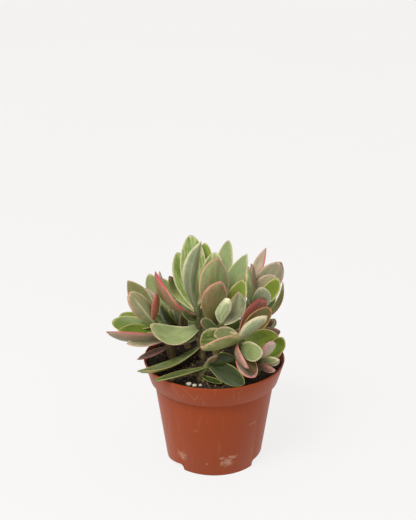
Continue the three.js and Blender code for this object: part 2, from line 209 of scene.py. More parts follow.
# %% Pot: the turned shell
RIM_RADIUS = 52.5
POT_HEIGHT = 81
COLLAR_HEIGHT = 16.5
COLLAR_FOOT_RADIUS = 48
BODY_TOP_RADIUS = 45
BASE_RADIUS = 36
WALL = 1.2
LIP = 1.3
FLOOR_HEIGHT = 5.2
FLOOR_THICKNESS = 1.4
FOOT_RIM_WALL = 1.6
PAD_RADIUS = 9
PAD_SLOPE = 1.5
POT_SIDES = 160
STEP = POT_HEIGHT - COLLAR_HEIGHT


def pot_radius(height):
    """The pot's outer radius at a height: up the body, then up the flared collar."""
    if height < STEP:
        return BASE_RADIUS + (BODY_TOP_RADIUS - BASE_RADIUS) * height / STEP
    return COLLAR_FOOT_RADIUS + (RIM_RADIUS - COLLAR_FOOT_RADIUS) * (height - STEP) / COLLAR_HEIGHT


# From the middle of the foot up the outside, over the rolled lip, and down the inside again.
FLOOR_TOP = FLOOR_HEIGHT + FLOOR_THICKNESS
POT_PROFILE = [
    (0, 0),
    (PAD_RADIUS, 0),
    (PAD_RADIUS + PAD_SLOPE, FLOOR_HEIGHT),
    (pot_radius(FLOOR_HEIGHT) - FOOT_RIM_WALL, FLOOR_HEIGHT),
    (BASE_RADIUS - FOOT_RIM_WALL, 0),
    (BASE_RADIUS - 0.3, 0),
    (BASE_RADIUS, 0.4),
    (BODY_TOP_RADIUS, STEP - 0.7),
    (COLLAR_FOOT_RADIUS - 0.6, STEP),
    (COLLAR_FOOT_RADIUS, STEP + 0.6),
    (RIM_RADIUS - 0.1, POT_HEIGHT - 1.2),
    (RIM_RADIUS, POT_HEIGHT - 0.7),
    (RIM_RADIUS - 0.2, POT_HEIGHT - 0.2),
    (RIM_RADIUS - 0.65, POT_HEIGHT),
    (RIM_RADIUS - 1.1, POT_HEIGHT - 0.2),
    (RIM_RADIUS - LIP, POT_HEIGHT - 0.7),
    (COLLAR_FOOT_RADIUS - WALL, STEP + 1.4),
    (BODY_TOP_RADIUS - WALL, STEP - 1.2),
    (pot_radius(FLOOR_TOP) - WALL, FLOOR_TOP),
    (PAD_RADIUS + PAD_SLOPE, FLOOR_TOP),
    (PAD_RADIUS, FLOOR_THICKNESS),
    (0, FLOOR_THICKNESS),
]


def turned(profile, sides):
    """A closed body of revolution about Z, from (radius, height) pairs in mm."""
    shape = bmesh.new()
    line = [shape.verts.new((radius * MM, 0, height * MM)) for radius, height in profile]
    edges = [shape.edges.new(pair) for pair in zip(line, line[1:])]
    bmesh.ops.spin(
        shape, geom=line + edges, cent=(0, 0, 0), axis=(0, 0, 1), dvec=(0, 0, 0),
        angle=2 * math.pi, steps=sides, use_merge=True, use_duplicate=False,
    )
    bmesh.ops.remove_doubles(shape, verts=shape.verts, dist=1e-6)
    bmesh.ops.recalc_face_normals(shape, faces=shape.faces)
    return shape


# %% [markdown]
# Three shallow notches in the foot ring let water run out from under the pot, one of them with a
# top that slopes down to nothing, and four holes go through its floor. They are cut with a
# Boolean, as the mould's slides leave them, and then a narrow bevel rounds every corner so that
# it catches a line of light. A notch is the turn of its middle in degrees, its width in mm, the
# slope of its top in degrees, and how many mm lower than the others it sits.

# %% Pot: notches and drain holes
NOTCHES = ((214.5, 22.5, 12, 2.4), (345, 28.5, 0, 0), (97, 28.5, 0, 0))
NOTCH_HEIGHT = 5
NOTCH_REACH = 12
NOTCH_ROUNDING = 2
DRAIN_RADIUS = 4
DRAIN_CIRCLE = 20
DRAIN_COUNT = 4
DRAIN_SIDES = 32
DRAIN_CUT_LENGTH = 20
CORNER_RADIUS = 0.3

cutter = bmesh.new()
for turn, width, slope, drop in NOTCHES:
    box = bmesh.new()
    bmesh.ops.create_cube(box, size=1)
    size = Matrix.Diagonal((NOTCH_REACH * MM, width * MM, 2 * NOTCH_HEIGHT * MM, 1))
    bmesh.ops.transform(box, verts=box.verts, matrix=size)
    upper = [edge for edge in box.edges if all(end.co.z > 0 for end in edge.verts)]
    upper = [edge for edge in upper if abs(edge.verts[0].co.y - edge.verts[1].co.y) < MM]
    bmesh.ops.bevel(
        box, geom=upper, offset=NOTCH_ROUNDING * MM, segments=4, profile=0.5, affect="EDGES",
        material=-1,
    )
    tilt = Matrix.Rotation(math.radians(slope), 4, "X")
    out = Matrix.Translation((BASE_RADIUS * MM, 0, -drop * MM))
    round_to = Matrix.Rotation(math.radians(turn), 4, "Z")
    bmesh.ops.transform(box, verts=box.verts, matrix=round_to @ out @ tilt)
    box_mesh = bpy.data.meshes.new("box")
    box.to_mesh(box_mesh)
    box.free()
    cutter.from_mesh(box_mesh)
    bpy.data.meshes.remove(box_mesh)
for hole in range(DRAIN_COUNT):
    turn = math.radians(360 / DRAIN_COUNT * (hole + 0.5))
    made = bmesh.ops.create_cone(
        cutter, segments=DRAIN_SIDES, radius1=DRAIN_RADIUS * MM, radius2=DRAIN_RADIUS * MM,
        depth=DRAIN_CUT_LENGTH * MM, cap_ends=True,
    )
    bmesh.ops.translate(
        cutter, verts=made["verts"],
        vec=(DRAIN_CIRCLE * MM * math.cos(turn), DRAIN_CIRCLE * MM * math.sin(turn), 0),
    )
cutter_mesh = bpy.data.meshes.new("cutter")
cutter.to_mesh(cutter_mesh)
cutter.free()
cutter_object = bpy.data.objects.new("cutter", cutter_mesh)
bpy.context.scene.collection.objects.link(cutter_object)


def apply_modifiers(piece):
    """Gives a piece the mesh that its modifiers make, and removes them."""
    graph = bpy.context.evaluated_depsgraph_get()
    mesh = bpy.data.meshes.new_from_object(piece.evaluated_get(graph))
    old = piece.data
    piece.modifiers.clear()
    piece.data = mesh
    bpy.data.meshes.remove(old)


# %% [markdown]
# Terracotta-coloured polypropylene has a dull satin skin. Grazing light turns it paler and
# pinker at the sides, which the shader's own gloss gives. The plastic is slightly cloudy, and a
# used pot is dusty and scuffed: each mark here is a soft spot or a thin line at a named place.

# %% Material: terracotta polypropylene, moulded, satin, scuffed
POT_COLOUR = "#923B10"
POT_PALE = "#9B4318"
POT_DARK = "#883715"
DUST_COLOUR = "#C9AE94"
SCRATCH_WIDTH = 1.0
SCRATCH_CORE = 0.2
# Rubbed spots as the turn of the middle in degrees (270 faces the camera), its height, the spot's
# own width and height in mm, and how strongly it shows.
POT_SPOTS = (
    (231, 13.5, 11.0, 9.0, 0.34),
    (285, 12.0, 11.0, 10.0, 0.46),
    (291, 16.0, 10.0, 4.5, 0.40),
    (279, 16.0, 7.0, 3.5, 0.30),
    (262, 10.5, 2.2, 2.2, 0.35),
    (313, 41.5, 9.0, 1.6, 0.22),
    (251, 40.0, 7.0, 3.0, 0.10),
    (60, 30.0, 9.0, 12.0, 0.22),
    (150, 20.0, 7.0, 9.0, 0.20),
)
# Scratches as the turn and height of each end, in degrees and mm, and how strongly they show.
POT_SCRATCHES = (
    (245, 79, 254, 70, 0.16),
    (258, 76, 254, 70, 0.14),
    (254, 70, 255, 63, 0.22),
    (314, 78, 315, 62, 0.30),
    (237, 78, 239, 70, 0.14),
    (110, 60, 121, 44, 0.22),
    (30, 50, 34, 38, 0.20),
)


def on_pot(turn, height):
    """The point of the pot's outside at a turn in degrees and a height in mm."""
    radius = pot_radius(height) * MM
    angle = math.radians(turn)
    return Vector((radius * math.cos(angle), radius * math.sin(angle), height * MM))


pot_material, tree = new_material("terracotta_polypropylene")
place = add_node(tree, "ShaderNodeTexCoord").outputs["Object"]
# Clouds 18 mm wide, water marks 4 mm wide and 45 mm long, grit of 0.7 mm, and rubs of 2.4 mm.
cloud = add_node(
    tree, "ShaderNodeTexNoise", {},
    {"Vector": place, "Scale": 55, "Detail": 3.0, "Roughness": 0.55},
)
drawn = add_node(tree, "ShaderNodeMapping", {}, {"Vector": place, "Scale": (260, 260, 22)})
water = add_node(
    tree, "ShaderNodeTexNoise", {},
    {"Vector": drawn.outputs[0], "Scale": 1.0, "Detail": 3.0},
)
grit = add_node(tree, "ShaderNodeTexNoise", {}, {"Vector": place, "Scale": 1400, "Detail": 2.0})
rubbed = add_node(
    tree, "ShaderNodeTexNoise", {},
    {"Vector": place, "Scale": 420, "Detail": 3.0, "Roughness": 0.6},
)
tone = add_node(
    tree, "ShaderNodeMix", {"data_type": "RGBA"},
    {0: cloud.outputs["Fac"], 6: linear(POT_DARK), 7: linear(POT_PALE)},
)
tone = add_node(
    tree, "ShaderNodeMix", {"data_type": "RGBA"},
    {0: 0.55, 6: tone.outputs[2], 7: linear(POT_COLOUR)},
)
worn = add_node(
    tree, "ShaderNodeMapRange", {"interpolation_type": "SMOOTHSTEP"},
    {"Value": grit.outputs["Fac"], "From Min": 0.42, "From Max": 0.62},
)
dust = add_node(
    tree, "ShaderNodeMapRange", {"interpolation_type": "SMOOTHSTEP"},
    {"Value": water.outputs["Fac"], "From Min": 0.56, "From Max": 0.82, "To Max": 0.08},
).outputs[0]
for turn, height, width, tall, strength in POT_SPOTS:
    centre = on_pot(turn, height)
    moved = add_node(tree, "ShaderNodeVectorMath", {"operation": "SUBTRACT"}, {0: place, 1: centre})
    sized = add_node(
        tree, "ShaderNodeVectorMath", {"operation": "DIVIDE"},
        {0: moved.outputs[0], 1: (width / 2 * MM, width / 2 * MM, tall / 2 * MM)},
    )
    away = add_node(tree, "ShaderNodeVectorMath", {"operation": "LENGTH"}, {0: sized.outputs[0]})
    ragged = add_node(
        tree, "ShaderNodeMath", {"operation": "MULTIPLY_ADD"},
        {0: rubbed.outputs["Fac"], 1: 2.2, 2: away.outputs["Value"]},
    )
    spot = add_node(
        tree, "ShaderNodeMapRange", {"interpolation_type": "SMOOTHSTEP"},
        {"Value": ragged.outputs[0], "From Min": 2.15, "From Max": 1.25, "To Max": strength},
    )
    most = add_node(tree, "ShaderNodeMath", {"operation": "MAXIMUM"}, {0: dust, 1: spot.outputs[0]})
    dust = most.outputs[0]
for turn_a, height_a, turn_b, height_b, strength in POT_SCRATCHES:
    start, end = on_pot(turn_a, height_a), on_pot(turn_b, height_b)
    along = (end - start).normalized()
    half_length = (end - start).length / 2
    moved = add_node(
        tree, "ShaderNodeVectorMath", {"operation": "SUBTRACT"},
        {0: place, 1: (start + end) / 2},
    )
    aside = add_node(
        tree, "ShaderNodeVectorMath", {"operation": "CROSS_PRODUCT"},
        {0: moved.outputs[0], 1: along},
    )
    away = add_node(tree, "ShaderNodeVectorMath", {"operation": "LENGTH"}, {0: aside.outputs[0]})
    ends = add_node(
        tree, "ShaderNodeVectorMath", {"operation": "DOT_PRODUCT"},
        {0: moved.outputs[0], 1: along},
    )
    reach = add_node(tree, "ShaderNodeMath", {"operation": "ABSOLUTE"}, {0: ends.outputs["Value"]})
    line = add_node(
        tree, "ShaderNodeMapRange", {"interpolation_type": "SMOOTHSTEP"},
        {"Value": away.outputs["Value"], "From Min": SCRATCH_WIDTH / 2 * MM,
         "From Max": SCRATCH_CORE / 2 * MM, "To Max": strength},
    )
    within = add_node(
        tree, "ShaderNodeMapRange", {"interpolation_type": "SMOOTHSTEP"},
        {"Value": reach.outputs[0], "From Min": half_length + MM, "From Max": half_length - MM},
    )
    scratch = add_node(
        tree, "ShaderNodeMath", {"operation": "MULTIPLY"},
        {0: line.outputs[0], 1: within.outputs[0]},
    )
    most = add_node(tree, "ShaderNodeMath", {"operation": "MAXIMUM"}, {0: dust, 1: scratch.outputs[0]})
    dust = most.outputs[0]
colour = add_node(
    tree, "ShaderNodeMix", {"data_type": "RGBA"},
    {0: dust, 6: tone.outputs[2], 7: linear(DUST_COLOUR)},
)
rough = add_node(
    tree, "ShaderNodeMapRange", {},
    {"Value": worn.outputs[0], "To Min": 0.40, "To Max": 0.52},
)
bump = add_node(
    tree, "ShaderNodeBump", {},
    {"Height": grit.outputs["Fac"], "Strength": 0.12, "Distance": 0.1 * MM},
)
plastic = add_node(
    tree, "ShaderNodeBsdfPrincipled", {},
    {"Base Color": colour.outputs[2], "Roughness": rough.outputs[0], "Normal": bump.outputs[0],
     "IOR": 1.49, "Specular IOR Level": 0.16, "Sheen Weight": 0.09, "Sheen Roughness": 0.45,
     "Sheen Tint": linear("#FFE2D2")},
)
finish_material(tree, plastic)

# %% Pot: the finished piece
pot = make_piece("pot_shell", turned(POT_PROFILE, POT_SIDES), [pot_material], ["pot"])
cut = pot.modifiers.new("cuts", "BOOLEAN")
cut.object = cutter_object
cut.operation = "DIFFERENCE"
cut.solver = "EXACT"
apply_modifiers(pot)
bpy.data.objects.remove(cutter_object)
smooth_faces(pot, 32)
corners = pot.modifiers.new("corners", "BEVEL")
corners.width = CORNER_RADIUS * MM
corners.segments = 2
corners.limit_method = "ANGLE"
corners.angle_limit = math.radians(50)
print("pot", len(pot.data.polygons), "faces after the cuts")

# %% [markdown]
# The soil is a moist potting mix of peat and fine bark. Its top is lumpy and lies a few
# millimetres below the rim. A turned block fills the pot, and its top is roughened twice: by
# the broad lumps that a hand leaves, and by the crumbs of the mix itself.

# %% Soil: the block
SOIL_LEVEL = 77
SOIL_RELIEF = 0.7
SURFACE_MARGIN = 0.1
LUMPS_ACROSS = 5.5
LUMPS_BACK = 6.5
LUMPS_SLANTED = 4
SOIL_SIDES = 150
SOIL_RINGS = 62
CLEARANCE = 0.3
CRUMB_RELIEF = 1.1
CRUMB_SPACING = 2.6
FINE_SPACING = 1.4


def soil_height(x, y):
    """The broad lumps of the soil's top, in mm."""
    lumps = math.sin(x / LUMPS_ACROSS + 1) * math.cos(y / LUMPS_BACK)
    ripples = 0.5 * math.sin((x - y) / LUMPS_SLANTED)
    return SOIL_LEVEL + SOIL_RELIEF * (lumps + ripples) / 1.5


def soil_grain(x, y):
    """The crumbs of the soil's top, in mm: rounded heaps with cracks between them."""
    near = noise.voronoi(Vector((x / CRUMB_SPACING, y / CRUMB_SPACING, 0.5)))[0][0]
    fine = noise.fractal(Vector((x / FINE_SPACING, y / FINE_SPACING, 3.0)), 0.9, 2.0, 3)
    return CRUMB_RELIEF * (0.35 - near + 0.22 * fine)


inside = WALL + CLEARANCE
edge = pot_radius(SOIL_LEVEL) - inside
bottom = FLOOR_TOP + CLEARANCE
profile = [
    (0, FLOOR_THICKNESS + CLEARANCE),
    (PAD_RADIUS - inside, FLOOR_THICKNESS + CLEARANCE),
    (PAD_RADIUS, bottom),
    (pot_radius(bottom) - inside, bottom),
    (BODY_TOP_RADIUS - inside, STEP - 1.6),
    (COLLAR_FOOT_RADIUS - inside, STEP + 1),
    (edge - 0.1, SOIL_LEVEL - 1.5),
]
profile += [(edge * (1 - ring / SOIL_RINGS), SOIL_LEVEL) for ring in range(SOIL_RINGS + 1)]
soil_shape = turned(profile, SOIL_SIDES)
for vertex in soil_shape.verts:
    if vertex.co.z > (SOIL_LEVEL - SURFACE_MARGIN) * MM:
        x, y = vertex.co.x / MM, vertex.co.y / MM
        vertex.co.z = (soil_height(x, y) + soil_grain(x, y)) * MM
print("soil:", len(soil_shape.verts), "points, its top", round(edge, 1), "mm in radius")

# %% [markdown]
# Loose crumbs of bark and peat and a few dry root fibres lie on top. Each crumb is a small
# rounded lump of twenty faces and each fibre a thin bent spindle, all placed by a seeded draw.

# %% Soil: crumbs and fibres
# The sizes are in mm: a range for the crumbs, and for the fibres' length and half thickness.
CRUMB_COUNT = 900
CRUMB_SIZES = (0.8, 2.6)
BATCH = 60
FIBRE_COUNT = 130
FIBRE_LENGTHS = (4, 9)
FIBRE_RADII = (0.10, 0.22)
FULL_TURN = 6.3
draw = random.Random(7)


def add_crumb(shape, size, place, index):
    made = bmesh.ops.create_icosphere(shape, subdivisions=1, radius=size / 2 * MM)
    angle = draw.uniform(0, FULL_TURN)
    turn = Matrix.Rotation(angle, 4, Vector((draw.uniform(-1, 1), draw.uniform(-1, 1), 0.3)))
    flat = Matrix.Diagonal((draw.uniform(0.7, 1.5), draw.uniform(0.6, 1.0), draw.uniform(0.4, 0.8), 1))
    bmesh.ops.transform(shape, verts=made["verts"], matrix=Matrix.Translation(place) @ turn @ flat)
    for face in {face for vertex in made["verts"] for face in vertex.link_faces}:
        face.material_index = index


def add_fibre(shape, start, turn, length, thickness, index):
    """A slender spindle whose rings are moved on to a wandering, slightly arched line."""
    made = bmesh.ops.create_uvsphere(shape, u_segments=5, v_segments=8, radius=1)
    phase = draw.uniform(0, FULL_TURN)
    for vertex in made["verts"]:
        t = 0.5 + vertex.co.z / 2
        sway = 0.16 * length * math.sin(3.2 * t + phase)
        arch = 0.14 * length * 4 * t * (1 - t)
        aside = sway + thickness * vertex.co.x
        x = length * t * math.cos(turn) - aside * math.sin(turn)
        y = length * t * math.sin(turn) + aside * math.cos(turn)
        vertex.co = start + Vector((x, y, arch + thickness * vertex.co.y)) * MM
    for face in {face for vertex in made["verts"] for face in vertex.link_faces}:
        face.material_index = index


crumb_mesh = bpy.data.meshes.new("crumbs")
crumb_shape = bmesh.new()
batch = bmesh.new()
for count in range(CRUMB_COUNT):
    reach = (edge - 1.5) * math.sqrt(draw.uniform(0.02, 1))
    angle = draw.uniform(0, 2 * math.pi)
    x, y = reach * math.cos(angle), reach * math.sin(angle)
    size = draw.uniform(*CRUMB_SIZES) * draw.uniform(0.7, 1.15)
    place = Vector((x, y, soil_height(x, y) + soil_grain(x, y) + 0.25 * size)) * MM
    add_crumb(batch, size, place, 0 if draw.random() < 0.8 else 1)
    if count % BATCH == BATCH - 1:
        batch.to_mesh(crumb_mesh)
        crumb_shape.from_mesh(crumb_mesh)
        batch.clear()
for _ in range(FIBRE_COUNT):
    reach = (edge - 9) * math.sqrt(draw.uniform(0.05, 1))
    angle = draw.uniform(0, 2 * math.pi)
    x, y = reach * math.cos(angle), reach * math.sin(angle)
    start = Vector((x, y, soil_height(x, y) + 0.3)) * MM
    turn = draw.uniform(0, FULL_TURN)
    length = draw.uniform(*FIBRE_LENGTHS)
    add_fibre(batch, start, turn, length, draw.uniform(*FIBRE_RADII), 1)
batch.to_mesh(crumb_mesh)
crumb_shape.from_mesh(crumb_mesh)
batch.free()
bpy.data.meshes.remove(crumb_mesh)
print("crumbs:", CRUMB_COUNT, "fibres:", FIBRE_COUNT)

# %% [markdown]
# Wet peat is almost black and has no shine of its own; a little light brown shows where bark
# and fibres lie dry on it. Two materials do: the dark mix, and the paler bark and fibre.

# %% Materials: peat, and dry bark and fibre
soil_material, tree = new_material("moist_peat_mix")
place = add_node(tree, "ShaderNodeTexCoord").outputs["Object"]
patch = add_node(
    tree, "ShaderNodeTexNoise", {},
    {"Vector": place, "Scale": 380, "Detail": 4.0, "Roughness": 0.7},
)
tone = add_node(tree, "ShaderNodeValToRGB", {}, {"Fac": patch.outputs["Fac"]})
tone.color_ramp.elements[0].position = 0.35
tone.color_ramp.elements[0].color = linear("#1A130E")
tone.color_ramp.elements[1].position = 0.75
tone.color_ramp.elements[1].color = linear("#4A3B2B")
bump = add_node(
    tree, "ShaderNodeBump", {},
    {"Height": patch.outputs["Fac"], "Strength": 0.8, "Distance": 0.5 * MM},
)
peat = add_node(
    tree, "ShaderNodeBsdfPrincipled", {},
    {"Base Color": tone.outputs[0], "Roughness": 0.85, "Specular IOR Level": 0.3,
     "Normal": bump.outputs[0]},
)
finish_material(tree, peat)

bark_material, tree = new_material("dry_bark_and_fibre")
place = add_node(tree, "ShaderNodeTexCoord").outputs["Object"]
patch = add_node(tree, "ShaderNodeTexNoise", {}, {"Vector": place, "Scale": 700, "Detail": 3.0})
tone = add_node(
    tree, "ShaderNodeMix", {"data_type": "RGBA"},
    {0: patch.outputs["Fac"], 6: linear("#4B3725"), 7: linear("#A08258")},
)
bump = add_node(
    tree, "ShaderNodeBump", {},
    {"Height": patch.outputs["Fac"], "Strength": 0.5, "Distance": 0.2 * MM},
)
bark = add_node(
    tree, "ShaderNodeBsdfPrincipled", {},
    {"Base Color": tone.outputs[2], "Roughness": 0.9, "Normal": bump.outputs[0]},
)
finish_material(tree, bark)

make_piece("soil_block", soil_shape, [soil_material], ["soil"], 180)
make_piece("soil_crumbs", crumb_shape, [soil_material, bark_material], (), 180)

# %% [markdown]
# Perlite is glass rock puffed up by heat: light, pale, knobbly grains that keep the mix open.
# A finely divided ball is pushed in and out by noise, which gives its knobs and pits.

# %% Perlite: grains and their material
# Each grain is its place from left to right and from front to back, and its size, in mm.
PERLITE = (
    (-18, -37.5, 3.2),
    (-14, -39.8, 2.6),
    (-9.8, -39.6, 1.9),
    (27, 36, 3.0),
    (-12, 43, 2.6),
    (43, 4, 2.8),
)

perlite_material, tree = new_material("expanded_perlite")
place = add_node(tree, "ShaderNodeTexCoord").outputs["Object"]
pits = add_node(tree, "ShaderNodeTexNoise", {}, {"Vector": place, "Scale": 1500, "Detail": 3.0})
tone = add_node(
    tree, "ShaderNodeMix", {"data_type": "RGBA"},
    {0: pits.outputs["Fac"], 6: linear("#A39478"), 7: linear("#EFE8D8")},
)
bump = add_node(
    tree, "ShaderNodeBump", {},
    {"Height": pits.outputs["Fac"], "Strength": 0.7, "Distance": 0.2 * MM},
)
rock = add_node(
    tree, "ShaderNodeBsdfPrincipled", {},
    {"Base Color": tone.outputs[2], "Roughness": 0.9, "Normal": bump.outputs[0]},
)
finish_material(tree, rock)

for index, (x, y, size) in enumerate(PERLITE):
    grain = bmesh.new()
    bmesh.ops.create_icosphere(grain, subdivisions=4, radius=size / 2 * MM)
    for vertex in grain.verts:
        knob = noise.fractal(vertex.co / (0.9 * MM) + Vector((index, 0, 0)), 1.0, 2.0, 3)
        vertex.co *= 1 + 0.28 * knob
    bmesh.ops.scale(grain, verts=grain.verts, vec=(1.2, 1.0, 0.85))
    place = Vector((x, y, soil_height(x, y) + 0.3 * size)) * MM
    bmesh.ops.translate(grain, verts=grain.verts, vec=place)
    node = f"perlite_{index + 1}"
    make_piece(f"perlite_grain_{index + 1}", grain, [perlite_material], [node], 180)

# %% [markdown]
# The plan of the plant. Each leafy stem has one or two shoots: the radius of the stem, its path
# from the foot in the soil to the crown, and its leaves. A leaf is how far along the path it
# grows, the turn and rise of its tip in degrees, its reach and width in mm, its roll about its
# own length, how far its middle sags below and to the side of the straight line from root to
# tip, how steeply its halves fold up, how pointed its tip is, its colouring, and which of its
# margins, the left, right, upper or lower one as the camera sees it, has turned pink in the sun.

